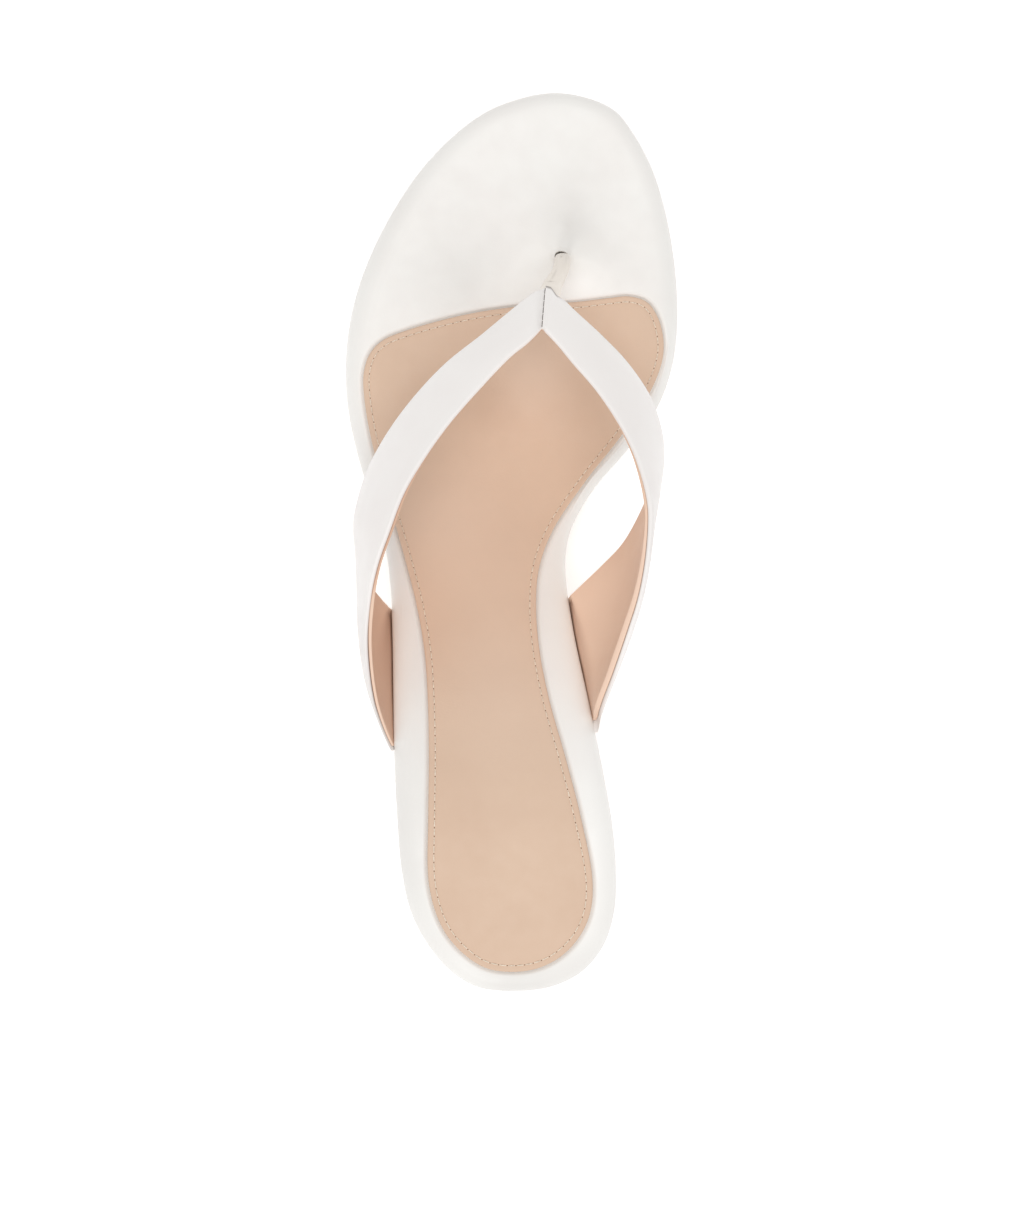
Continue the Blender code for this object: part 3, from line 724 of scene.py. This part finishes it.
WHITE = srgb(242, 240, 236)
WHITE_DEEP = srgb(240, 237, 233)
# Colours the calf turns towards for painted light and painted shade
CALF_PAINTED_LIGHT = srgb(253, 251, 248)
CALF_SHADE = srgb(112, 102, 94)
NUDE = srgb(219, 190, 166)
NUDE_DEEP = srgb(214, 184, 160)
# The paler colour of the sock's painted light
NUDE_PAINTED_LIGHT = srgb(236, 212, 192)
NUDE_EDGE = srgb(235, 204, 182)
# Painted shade for the gap under the white layer, and for the lining's crevice by the footbed
GAP_PAINTED_SHADE = srgb(168, 128, 106)
LINING_SHADE = srgb(138, 92, 70)
BUFF = srgb(205, 172, 138)
BUFF_DEEP = srgb(190, 156, 122)
RUBBER = srgb(196, 168, 138)
RUBBER_DEEP = srgb(180, 152, 124)
THREAD = srgb(242, 228, 210)
THREAD_DEEP = srgb(214, 196, 176)
# Painted shade of the needle holes
NEEDLE_HOLE_SHADE = srgb(132, 99, 78)
SEAM_THREAD = srgb(84, 77, 72)
SEAM_THREAD_DEEP = srgb(120, 110, 102)


def calf(name, light, deep):
    """Smooth white calf: fine pores, a soft polish and a barely uneven dye, with painted light
    where a piece's value is above zero and painted shade where it is below.
    """
    finish = Finish(name, 0.42, 0.45)
    dye = finish.blend(finish.noise(55, 4), 0.38, 0.68, light, deep)
    # Painted light above zero, painted shade below
    painted_shading = finish.attribute("painted_shading")
    paler = finish.blend(painted_shading, 0, 1, dye, CALF_PAINTED_LIGHT)
    finish.color(finish.blend(painted_shading, 0, -1, paler, CALF_SHADE))
    finish.polish(finish.noise(220), 0.36, 0.5)
    pores = finish.ramp(finish.cells(2300), 0.0, 0.55, 0, 1)
    finish.relief(finish.noise(120), 0.18, 0.0004)
    grain = finish.math("ADD", finish.noise(1500, 2), finish.math("MULTIPLY", pores, 0.6))
    finish.relief(grain, 0.22, 0.00003)
    return finish.material


def kid(name, light, deep, edge_color):
    """Nude kid: matt, with a tight grain. From 0 to 1 its value turns it towards a paler colour:
    the trimmed edge on the linings, painted light on the sock. Below 0, and from 1.2 up, it takes
    painted shade.
    """
    finish = Finish(name, 0.55, 0.4)
    dye = finish.blend(finish.noise(38, 4), 0.35, 0.7, light, deep)
    # Pale trimmed edge or painted light from 0 to 1, painted shade below 0 and from 1.2 to 1.8
    cut = finish.attribute("cut")
    pale = finish.blend(cut, 0, 1, dye, edge_color)
    shaded = finish.blend(cut, 0, -1, pale, LINING_SHADE)
    finish.color(finish.blend(cut, 1.2, 1.8, shaded, GAP_PAINTED_SHADE))
    finish.polish(finish.noise(300), 0.48, 0.62)
    finish.relief(finish.noise(90), 0.2, 0.0004)
    finish.relief(finish.math("ADD", finish.noise(1300), finish.cells(1700)), 0.3, 0.00004)
    finish.surface["Sheen Weight"].default_value = 0.05
    return finish.material


def sole_leather(name):
    """Buff sole leather with long faint fibres."""
    finish = Finish(name, 0.5)
    stretch = {"Vector": finish.place, "Scale": (1.0, 0.22, 1.0)}
    finish.place = finish.add("ShaderNodeMapping", stretch)
    fibres = finish.noise(260, 6, 0.6)
    finish.color(finish.blend(fibres, 0.32, 0.7, BUFF, BUFF_DEEP))
    finish.polish(fibres, 0.42, 0.6)
    finish.relief(finish.noise(900, 4), 0.25, 0.00008)
    return finish.material


def rubber(name):
    finish = Finish(name, 0.7)
    finish.color(finish.blend(finish.noise(400, 5), 0.35, 0.65, RUBBER, RUBBER_DEEP))
    finish.polish(finish.noise(600), 0.62, 0.8)
    finish.relief(finish.cells(1600), 0.35, 0.00008)
    return finish.material


def thread(name, light, deep, roughness=0.6):
    finish = Finish(name, roughness)
    finish.color(finish.blend(finish.noise(2500, 2), 0.35, 0.65, light, deep))
    finish.relief(finish.noise(6000, 2), 0.4, 0.00005)
    return finish.material


white_calf = calf("white_calf", WHITE, WHITE_DEEP)
band_calf = calf("band_calf", srgb(243, 239, 236), srgb(241, 236, 233))
post_calf = calf("post_calf", srgb(246, 239, 230), srgb(243, 235, 225))
# The outer band's lining is dyed darker and the inner band's paler: painted shade and painted light
# on one kid
lining_kid = {
    "lateral": kid("lining_kid_lateral", srgb(227, 190, 165), srgb(220, 182, 157), NUDE_EDGE),
    "medial": kid("lining_kid_medial", srgb(238, 206, 182), srgb(233, 199, 175), NUDE_EDGE),
}
sock_kid = kid("sock_kid", NUDE, NUDE_DEEP, NUDE_PAINTED_LIGHT)
buff_sole = sole_leather("buff_sole")
top_rubber = rubber("top_rubber")
sock_thread = thread("sock_thread", THREAD, THREAD_DEEP)
needle_holes = thread("needle_holes", NEEDLE_HOLE_SHADE, NEEDLE_HOLE_SHADE, 0.9)
seam_thread = thread("seam_thread", SEAM_THREAD, SEAM_THREAD_DEEP)


# ---------------- footbed and sock


def footbed_painted_shading(across, along):
    """Painted light and shade on the calf at each point, with dark painted shade inside the toe
    post's hole.
    """
    painted_shading = np.clip(spots(FOOTBED_PAINTED_SHADING, across, along), -1, 1)
    return np.where(hole_reach(across, along) < 0.93, HOLE_PAINTED_SHADE, painted_shading)


def make_footbed():
    shell = Shell()
    middle = sock.ring(-1.0)
    under = rim.ring(-ROLL[0, 0])
    inner = [middle + share * (under - middle) for share in (0, 0.5, 0.8)]
    rings = [shell.add(over(plan, footbed_base)) for plan in inner]
    for inset, share in ROLL[: ROLL_CREST - 3]:
        plan = rim.ring(-inset)
        low, high = footbed_base(*plan.T), footbed_surface(*plan.T, FAR_INSIDE, FAR_INSIDE)
        rings.append(shell.add(np.column_stack([plan, low + share * (high - low)])))
    start, end = plan, sock.ring(0.0)
    gap = np.linalg.norm(end - start, axis=1)
    near_share = FOOTBED_NEAR[None, :] * np.minimum(1, gap / 3.8)[:, None] / gap[:, None]
    far_steps = np.linspace(1, 0, FOOTBED_RINGS)[1:-1]
    outermost = near_share[:, 0]
    shares = [outermost + (1 - outermost) * far for far in far_steps]
    for share in [*shares, *near_share.T]:
        plan = end + share[:, None] * (start - end)
        up = footbed_surface(*plan.T, rim.distance(plan), sock.distance(plan))
        rings.append(shell.add(np.column_stack([plan, up])))
    shell.skin(rings)
    shell.fill(rings[0], above_sole(FOOTBED_BASE), COARSE_COLUMNS)
    shell.fill(rings[-1], above_sole(FOOTBED_TOP - 0.9), COARSE_COLUMNS)
    data = shell.mesh("footbed_cover")
    refine_hole(data)
    places = np.array([vert.co for vert in data.vertices]) / MM
    # The footbed's painted light and shade, kept for the calf to read
    keep_value(data, "painted_shading", footbed_painted_shading(places[:, 0], places[:, 1] + HEEL_REST_ALONG))
    finish_piece(data, white_calf, "footbed")


def refine_hole(data):
    """Divides the faces round the toe post's hole, then lays the new points on the surface."""
    work = bmesh.new()
    work.from_mesh(data)
    centre = Vector((POST_HOLE["across"], POST_HOLE["along"] - HEEL_REST_ALONG)) * MM

    def close_by(vert, reach):
        return (vert.co.xy - centre).length < reach * MM and vert.co.z > 4 * MM

    for reach in HOLE_FINE:
        edges = [e for e in work.edges if all(close_by(v, reach) for v in e.verts)]
        bmesh.ops.subdivide_edges(work, edges=edges, cuts=1, use_grid_fill=True)
    verts = [v for v in work.verts if close_by(v, HOLE_RELAID)]
    plan = np.array([v.co.xy for v in verts]) / MM
    up = footbed_surface(plan[:, 0], plan[:, 1] + HEEL_REST_ALONG, FAR_INSIDE, FAR_INSIDE)
    for vert, height in zip(verts, up):
        vert.co.z = height * MM
    work.to_mesh(data)
    work.free()
    data.shade_smooth()


def make_sock():
    shell = Shell()
    underside = above_sole(FOOTBED_TOP + SOCK_BASE)
    rings = []
    for inset, lift in ((0.3, 0.0), (0.0, 0.15), (0.0, 0.35)):
        rings.append(shell.add(over(sock.ring(-inset), above_sole(FOOTBED_TOP + SOCK_BASE + lift))))
    rings += [shell.add(over(sock.ring(-inset), sock_surface)) for inset in SOCK_RINGS]
    shell.skin(rings)
    shell.fill(rings[0], underside, COARSE_COLUMNS)
    shell.fill(rings[-1], sock_surface, FRONT_POINTS // 2)
    # Painted light that makes the sock paler at the waist and behind the seam
    shell.values = np.clip(spots(SOCK_PAINTED_LIGHT, *np.array(shell.points).T[:2]), 0, 1)
    finish_piece(shell.mesh("sock", "cut"), sock_kid, "insole")


# ---------------- outsole and heel


def make_outsole():
    shell = Shell()
    start = BREAST_ALONG + 0.3
    ring = rim.ring(-OUTSOLE_INSET)
    ahead = ring[:, 1] > start + 1.0
    ahead[SIDE_POINTS : SIDE_POINTS + FRONT_POINTS] = True
    edge = ring[ahead]
    facing = plan_facing(edge)
    facing[0] = (-1, 0)
    facing[-1] = (1, 0)
    rings = []
    for inset, up in zip(*SOLE_EDGE.values()):
        plan = edge - inset * facing
        first, last = [plan[0, 0], start + inset], [plan[-1, 0], start + inset]
        square = np.linspace(last, first, SOLE_COLUMNS + 1)[1:-1]
        plan = np.concatenate([[first], plan, [last], square])
        rings.append(shell.add(over(plan, above_sole(up))))
    shell.skin(rings)
    fill_sole(shell, rings[0], len(edge) + 2, OUTSOLE_THICK)
    fill_sole(shell, rings[-1], len(edge) + 2, 0.0)
    finish_piece(shell.mesh("outsole_leather"), buff_sole, "outsole", 50)


def fill_sole(shell, ring, count, up):
    """Closes one face of the sole with rows from side to side, the first one along the breast."""
    share = np.linspace(0, 1, SOLE_COLUMNS + 1)[1:-1, None]
    rows = [[ring[0], *ring[: count - 1 : -1], ring[count - 1]]]
    half = count // 2
    for k in range(1, half):
        left, right = (shell.points[ring[j]][:2] for j in (k, count - 1 - k))
        inner = over(left + share * (right - left), above_sole(up))
        rows.append([ring[k], *shell.add(inner), ring[count - 1 - k]])
    shell.grid(rows)
    middle = [ring[j] for j in range(half, count - half)]
    shell.faces.append((*rows[-1], *middle[::-1]))


def seat_plan():
    """Outline of the heel seat: round at the back, with softened corners at the breast."""
    length = BREAST_ALONG - SEAT_CORNER
    along = length - length * np.sin(np.linspace(0, 1, 56) * math.pi / 2)
    outer = rim.side("lateral", along, -HEEL_SEAT_INSET)
    inner = rim.side("medial", along[::-1], -HEEL_SEAT_INSET)
    turns = np.linspace(math.pi / 2, 0, 7)[:-1]
    corner = SEAT_CORNER * np.stack([1 - np.cos(turns), np.sin(turns)], axis=1)
    outer_corner = outer[0] + corner
    inner_corner = inner[-1] + corner[::-1] * (-1, 1)
    across = np.linspace(outer_corner[0], inner_corner[-1], 24)[1:-1]
    return np.concatenate([outer_corner, outer, inner[1:], inner_corner, across[::-1]])


def make_heel():
    """The covered block: its section shrinks and moves forward from the seat down to the lift."""
    shell = Shell()
    foot = TOP_PIECE_THICK + TOP_PIECE_GAP
    plan = seat_plan()
    ahead = plan[:, 1] - plan[:, 1].min()
    levels = curve(stack(HEEL, "level width length back"), 7)
    rings = []
    for level, width, length, back in [levels[0] + HEEL_FOOT, *levels]:
        across = plan[:, 0] * width
        front = soft_step(HEEL_HOLLOW["from"], 1.0, ahead / BREAST_ALONG)
        hollow = HEEL_HOLLOW["depth"] * front * math.sin(math.pi * level)
        flat = 1 - (across / (width * HEEL_HOLLOW["half_width"])) ** 2
        along = back + ahead * length - hollow * flat
        up = foot + level * (rise(along) + OUTSOLE_THICK - foot)
        rings.append(shell.add(np.column_stack([across, along, up])))
    shell.tube(rings)
    finish_piece(shell.mesh("heel_cover"), white_calf, "heel", 50)


def make_top_piece():
    shell = Shell()
    plan = seat_plan()
    width, length, back = (HEEL[key][0] for key in ("width", "length", "back"))
    points = np.column_stack([plan[:, 0] * width, back + (plan[:, 1] - plan[:, 1].min()) * length])
    centre = np.array([points[:, 0].mean(), (points[:, 1].min() + points[:, 1].max()) / 2])
    rings = []
    for inset, up in zip(*TOP_PIECE_EDGE.values()):
        ring = centre + (points - centre) * (1 - inset / TOP_PIECE_HALF)
        rings.append(shell.add(np.column_stack([ring, np.full(len(ring), up)])))
    shell.tube(rings)
    finish_piece(shell.mesh("heel_tip"), top_rubber, "heel_top_piece", 40)


# ---------------- bands


def at_row(data, side, row):
    return np.interp(row, data["row"], data[side])


def band_rows(band, side):
    """Lining face of one band: lines from the seam to its tucked end, points from rear to front.

    It gives back the lines, the thickness of the band at each point, and the row of each line.
    """
    share = np.linspace(0, 1, STRAP_COLUMNS)
    rear, front = stack(band, "rear_x rear_y rear_z"), stack(band, "front_x front_y front_z")
    last = len(rear) - 1
    middle = (rear + front) / 2
    order = np.arange(last + 1)
    run = middle[np.minimum(order + 1, last)] - middle[np.maximum(order - 1, 0)]
    outward = np.cross(run, front - rear) * (1 if side == "medial" else -1)
    outward[0, 0] = 0
    bow = band["bow"][:, None] * unit(outward)
    bow = (4 * share * (1 - share))[:, None] * bow[:, None]
    rows = list(rear[:, None] + share[:, None] * (front - rear)[:, None] + bow)
    low, high = TUCK_SPAN[side]
    skive = np.clip(1 - share / SKIVE["width"], 0, 1)
    for outset, height, slant in zip(TUCK["outset"], TUCK["height"], TUCK["slant"]):
        along = low + share * (high - slant - low)
        drawn = SKIVE["drawn_in"] * skive * (outset > 0)
        rows.append(over(rim.side(side, along, (outset - drawn)[:, None]), above_sole(height)))
    shares = [NEAR_SEAM] + [list(np.arange(8) / 8)] * (len(rows) - 2)
    times = [k + np.array(part) for k, part in enumerate(shares)]
    times = np.concatenate([*times, [len(rows) - 1]])
    thick = np.concatenate([np.full(last + 1, STRAP_THICK), TUCK["thick"]])
    thick = np.interp(times, np.arange(len(rows)), thick) + at_row(PADDING, side, times)
    late = np.clip((times - SKIVE["from_row"]) / (SKIVE["to_row"] - SKIVE["from_row"]), 0, 1)
    thick = thick[:, None] * (1 - SKIVE["thinned"] * late[:, None] * skive)
    lines = curve(rows, shares)
    if side == "medial":
        back = np.exp(-(((times - CORNER["row"]) / CORNER["spread"]) ** 2))
        back = CORNER["drawn_back"] * back[:, None] * np.clip(share * 3 - 2, 0, 1) ** 2
        lines -= unit(lines[:, -1:] - lines[:, :1]) * back[..., None]
    return lines, thick, times


def band_faces():
    """For each side, by line: the lining's face, facing and chord, the thickness and the row."""
    medial, lateral = band_rows(MEDIAL_BAND, "medial"), band_rows(LATERAL_BAND, "lateral")
    joined = np.concatenate([lateral[0][::-1], medial[0][1:]])
    chord = np.gradient(joined, axis=1)
    whole = (joined, unit(np.cross(np.gradient(joined, axis=0), chord)), unit(chord))
    turn = len(lateral[0]) - 1
    outer, inner = ([part[turn::step] for part in whole] for step in (-1, 1))
    return {"lateral": (*outer, *lateral[1:]), "medial": (*inner, *medial[1:])}


def from_edge(face):
    """Distance of a line's points from the nearer long edge of the band."""
    share = np.linspace(0, 1, STRAP_COLUMNS)
    return np.minimum(share, 1 - share) * np.linalg.norm(face[-1] - face[0])


def lining_part(side, time):
    """How much of the band's thickness the lining takes, thicker towards the tucked end."""
    thin, full = LINING_SHARE[side]
    return thin + (full - thin) * soft_step(*LINING_GROWS[side], time)


def band_edge(start, end, outward, points=9):
    """Half round over the white layer's turned edge, standing out past the table's corner."""
    middle, half = (start + end) / 2 + outward * BAND_EDGE_OUT, (end - start) / 2
    turns = np.linspace(-math.pi / 2, math.pi / 2, points + 2)[1:-1, None]
    return middle + half * np.sin(turns) + outward * np.linalg.norm(half) * np.cos(turns)


def make_band(bands, side):
    """The white layer of one band: crowned a little, its long edges turned over softly."""
    share = np.linspace(0, 1, STRAP_COLUMNS)
    taper = np.clip(1 - np.arange(STRAP_COLUMNS) / 5, 0, 1) ** 2
    dip, shell, rings = SEAM_DIP[side], Shell(), []
    for away, face, facing, chord, thick, time in zip(run_length(bands[side][0]), *bands[side]):
        crown = CROWN["rise"] * soft_step(0, CROWN["width"], from_edge(face)) - CROWN["rise"]
        sunk = dip["depth"] * np.exp(-((away / dip["width"]) ** 2))
        sunk -= dip["swell"] * np.exp(-((away / dip["reach"]) ** 2))
        ripple = WAVES["height"] * np.sin(away / WAVES["length"] + WAVES["slant"] * share)
        ripple *= soft_step(WAVES["from"], WAVES["to"], away)
        outer = face + facing * (thick + crown - sunk + ripple)[:, None]
        outer -= (chord + TRAIL_DROP * facing) * (taper * at_row(TRAIL, side, time))[:, None]
        inner = face + facing * (thick * lining_part(side, time))[:, None]
        rear = band_edge(inner[0], outer[0], -chord[0])
        front = band_edge(outer[-1], inner[-1], chord[-1])
        points = np.concatenate([inner[::-1], rear, outer, front])
        # Painted light and shade along the band, row by row
        painted_shading = np.full(len(points), at_row(BAND_PAINTED_SHADING, side, time))
        # Painted shade along the inner band's front corner where it lies over the toe post
        if side == "medial" and away[-1] < CORNER["to"]:
            shade = CORNER["painted_shading"] * (1 - soft_step(CORNER["from"], CORNER["to"], away[-1]))
            painted_shading[-len(front) - 1 :] = shade
            painted_shading[-len(front) - 1] *= 0.35
        rings.append(shell.add(points, painted_shading))
    shell.tube(rings)
    stands_for = "upper" if side == "medial" else None
    finish_piece(shell.mesh("band_" + side, "painted_shading"), band_calf, stands_for, 60)


def make_lining(bands, side):
    """The nude kid under one band, cut flush with the turned edges so that its thickness shows."""
    shell, rings = Shell(), []
    share = np.linspace(0, 1, STRAP_COLUMNS)
    for face, facing, chord, thick, time in zip(*bands[side]):
        layer = thick * lining_part(side, time) - 0.02
        pillow = PILLOW["edge"] * (1 - soft_step(0, PILLOW["width"], from_edge(face)))
        pillow = pillow + PILLOW["wave"] * np.sin(share * 9 + face[:, 1] / 5)
        top = face + facing * pillow[:, None]
        back = (face + facing * layer[:, None])[-2:0:-4]
        grown = soft_step(CUT_REACH["from"], CUT_REACH["to"], time)
        reach = CUT_REACH["least"] + CUT_REACH["more"] * grown
        edges = []
        for end, outward in ((0, -1), (-1, 1)):
            out = outward * reach * LINING_CUT["out"][:, None]
            deep = (pillow[end] + LINING_CUT["depth"] * (layer[end] - pillow[end]))[:, None]
            edges.append(face[end] + chord[end] * out + facing[end] * deep)
        # Painted shade of the gap under the white layer
        start, full, strength = GAP_SHADE_SHOWS[side]
        gap_shade = strength * soft_step(start, full, time)
        cut = np.minimum(LINING_CUT["cut"], 1 + (LINING_CUT["cut"] - 1) * gap_shade)
        # Before these rows the trimmed edge takes painted shade on the outer band and painted light
        # on the inner one
        start, full, before = CUT_SHOWS[side]
        cut = before + (cut - before) * soft_step(start, full, time)
        # Painted shade where the lining goes down into the crevice by the footbed
        crevice_shade = LINING_CREVICE_SHADE["painted_shading"] * soft_step(LINING_CREVICE_SHADE["from"], LINING_CREVICE_SHADE["to"], time)
        crevice_shade = crevice_shade * (0.3 + 0.7 * share[1:-1])
        value = np.concatenate([cut[::-1], crevice_shade, cut, np.zeros(len(back))])
        rings.append(shell.add(np.concatenate([edges[0][::-1], top[1:-1], edges[1], back]), value))
    shell.tube(rings)
    finish_piece(shell.mesh("lining_" + side, "cut"), lining_kid[side], sharp=50)


# ---------------- toe post


def full_oval(reach, power):
    """A sine or cosine pushed outwards by a power below 1, so that the oval has flatter faces."""
    return np.copysign(np.abs(reach) ** power, reach)


def post_creases(sideways, run):
    """Depth of the creases at places across the strip, some way up it."""
    total = np.zeros_like(sideways)
    for up, aside, half_length, half_width, depth in zip(*POST_CREASES.values()):
        beside = ((sideways - aside) / half_width) ** 2
        total += depth * np.exp(-(((run - up) / half_length) ** 2) - beside)
    return total


def make_post():
    """The folded strip between the toes: one oval tube, creased where it bends."""
    shell, rings = Shell(), []
    line = curve(stack(POST_LINE, "across along up"), POST_SECTIONS)
    turns = np.linspace(0, 2 * math.pi, POST_POINTS, endpoint=False)
    for middle, forward, run in zip(line, unit(np.gradient(line, axis=0)), run_length(line)):
        side = unit(np.array([1.0, 0.0, 0.0]) - forward[0] * forward)
        front = np.cross(side, forward)
        known = stack(POST_SECTION, "width thick oval")
        width, thick, oval = look_up(middle[2:], POST_SECTION["up"], known)[0]
        sideways = full_oval(np.cos(turns), oval) * width / 2
        through = full_oval(np.sin(turns), oval) * thick / 2
        crease = np.where(np.sin(turns) < 0, post_creases(sideways, run), 0.0)
        ring = middle + side * sideways[:, None] + front * (through + crease)[:, None]
        # Painted shade in the creases, darker where they are deeper
        rings.append(shell.add(ring, CREASE_PAINTED_SHADE * crease))
    shell.tube(rings)
    finish_piece(shell.mesh("toe_post", "painted_shading"), post_calf, sharp=60)


# ---------------- stitching


class Sewing(Tree):
    """A node tree that sews along a line: evenly spaced threads, or the holes between them."""

    SIZES = ("Pitch", "Length", "Thread", "Sink")
    KINDS = {"Geometry": "Geometry", **dict.fromkeys(SIZES, "Float"), "Finish": "Material"}

    def __init__(self, name, one_of):
        super().__init__(bpy.data.node_groups.new(name, "GeometryNodeTree"))
        face = self.tree.interface
        self.sockets = {}
        for label, kind in self.KINDS.items():
            kind = "NodeSocket" + kind
            self.sockets[label] = face.new_socket(name=label, in_out="INPUT", socket_type=kind)
        face.new_socket(name="Geometry", in_out="OUTPUT", socket_type="NodeSocketGeometry")
        self.given = self.tree.nodes.new("NodeGroupInput").outputs
        line = self.add("GeometryNodeMeshToCurve", {"Mesh": self.given["Geometry"]})
        spacing = {"Curve": line, "Length": self.given["Pitch"]}
        spaced = self.add("GeometryNodeResampleCurve", spacing, mode="LENGTH")
        up = self.add("GeometryNodeInputNamedAttribute", {"Name": "up"}, data_type="FLOAT_VECTOR")
        axes = {"Primary Axis": up, "Secondary Axis": self.add("GeometryNodeInputTangent", {})}
        turned = self.add("FunctionNodeAxesToRotation", axes, primary_axis="Z", secondary_axis="X")
        copies = {"Points": spaced, "Instance": one_of(self), "Rotation": turned}
        placed = self.add("GeometryNodeInstanceOnPoints", copies)
        real = self.add("GeometryNodeRealizeInstances", {"Geometry": placed})
        coat = {"Geometry": real, "Material": self.given["Finish"]}
        painted = self.add("GeometryNodeSetMaterial", coat)
        self.feed(self.tree.nodes.new("NodeGroupOutput").inputs["Geometry"], painted)

    def place(self, forward, height):
        """A point beside the line: ahead by a share of the length, and up by a socket or number."""
        ahead = self.math("MULTIPLY", self.given["Length"], forward) if forward else 0.0
        return self.add("ShaderNodeCombineXYZ", {"X": ahead, "Z": height})

    def sunk(self):
        return self.math("MULTIPLY", self.given["Sink"], -1.0)


def one_thread(tree):
    top = tree.math("MULTIPLY", tree.given["Thread"], 1.1)
    ends = {"Start": tree.place(-0.5, tree.sunk()), "End": tree.place(0.5, tree.sunk())}
    bow = {"Resolution": 6, **ends, "Middle": tree.place(0, top)}
    ring = {"Resolution": 6, "Radius": tree.math("MULTIPLY", tree.given["Thread"], 0.5)}
    solid = {
        "Curve": tree.add("GeometryNodeCurveQuadraticBezier", bow),
        "Profile Curve": tree.add("GeometryNodeCurvePrimitiveCircle", ring),
        "Fill Caps": True,
    }
    return tree.add("GeometryNodeCurveToMesh", solid)


def one_hole(tree):
    dot = {"Segments": 8, "Rings": 4, "Radius": tree.given["Thread"]}
    flattened = {
        "Geometry": tree.add("GeometryNodeMeshUVSphere", dot),
        "Translation": tree.place(0.5, tree.sunk()),
        "Scale": (1.15, 0.8, 0.3),
    }
    return tree.add("GeometryNodeTransform", flattened)


def sew(name, line, ups, closed, tree, sizes, finish):
    """Runs a sewing tree along a line with its up directions, and keeps the plain mesh."""
    points = np.array(line)
    points[:, 1] -= HEEL_REST_ALONG
    count = len(line)
    edges = [(k, (k + 1) % count) for k in range(count if closed else count - 1)]
    guide_mesh = bpy.data.meshes.new(name + "_guide")
    guide_mesh.from_pydata((points * MM).tolist(), edges, [])
    attribute = guide_mesh.attributes.new("up", "FLOAT_VECTOR", "POINT")
    attribute.data.foreach_set("vector", np.array(ups, np.float32).ravel())
    guide = new_object(name + "_guide", guide_mesh)
    modifier = guide.modifiers.new("sewing", "NODES")
    modifier.node_group = tree.tree
    for label, value in sizes.items():
        modifier[tree.sockets[label].identifier] = value * MM
    modifier[tree.sockets["Finish"].identifier] = finish
    graph = bpy.context.evaluated_depsgraph_get()
    data = bpy.data.meshes.new_from_object(guide.evaluated_get(graph))
    data.name = name
    bpy.data.objects.remove(guide)
    if "up" in data.attributes:
        data.attributes.remove(data.attributes["up"])
    data.shade_smooth()
    finish_piece(data, finish)


def make_stitching(bands):
    """One round of stitches inside the sock's edge, and those that draw the bands together."""
    threads, holes = Sewing("thread_row", one_thread), Sewing("hole_row", one_hole)
    plan = sock.ring(-SOCK_STITCH_INSET)
    slope = rise(plan[:, 1] + 0.5) - rise(plan[:, 1] - 0.5)
    ups = unit(np.stack([np.zeros_like(slope), -slope, np.ones_like(slope)], axis=1))
    line = over(plan, sock_surface)
    sew("sock_stitches", line, ups, True, threads, SOCK_SEWING, sock_thread)
    # Dark dots at the needle holes, as painted shade of the holes
    sew("sock_needle_holes", line, ups, True, holes, SOCK_HOLES, needle_holes)
    face, facing = (part[0] for part in bands["medial"][:2])
    line = face + facing * (STRAP_THICK - SEAM_DIP["lateral"]["depth"] + SEAM_LIFT)
    line, ups = line[1:-2], facing[1:-2]
    sew("seam_stitches", line, ups, False, threads, SEAM_SEWING, seam_thread)


# ---------------- stage


def make_stage():
    data = bpy.data.meshes.new("floor")
    signs = ((-1, -1), (1, -1), (1, 1), (-1, 1))
    corners = [(x * FLOOR_REACH, y * FLOOR_REACH, 0) for x, y in signs]
    data.from_pydata(corners, [], [(0, 1, 2, 3)])
    new_object("floor", data)
    finish = Finish("studio_floor", 0.9, 0.1)
    finish.color((0.85, 0.85, 0.85, 1))
    finish.surface["Emission Color"].default_value = (1, 1, 1, 1)
    finish.surface["Emission Strength"].default_value = 0.42
    data.materials.append(finish.material)

    world = bpy.data.worlds.new("studio")
    world.use_nodes = True
    sky = world.node_tree.nodes["Background"]
    sky.inputs["Color"].default_value = (1, 1, 1, 1)
    sky.inputs["Strength"].default_value = 0.59
    for name, light in LIGHTS.items():
        add_light(name, **light)

    lens = bpy.data.cameras.new("camera")
    lens.sensor_fit = "VERTICAL"
    lens.sensor_height = CAMERA["sensor"]
    lens.lens = CAMERA["lens"]
    camera = new_object("camera", lens)
    camera.location = CAMERA["place"]
    scene = bpy.context.scene
    scene.world = world
    scene.camera = camera
    scene.view_settings.view_transform = "Standard"


def add_light(name, place, size, power):
    """A soft box aimed at the middle of the shoe."""
    data = bpy.data.lights.new(name, "AREA")
    data.shape = "SQUARE"
    data.size = size
    data.energy = power
    light = new_object(name, data)
    light.location = place
    light.rotation_euler = (AIM - Vector(place)).to_track_quat("-Z", "Y").to_euler()


make_footbed()
make_sock()
make_outsole()
make_heel()
make_top_piece()
both_bands = band_faces()
for side in ("lateral", "medial"):
    make_band(both_bands, side)
    make_lining(both_bands, side)
make_post()
make_stitching(both_bands)
make_stage()
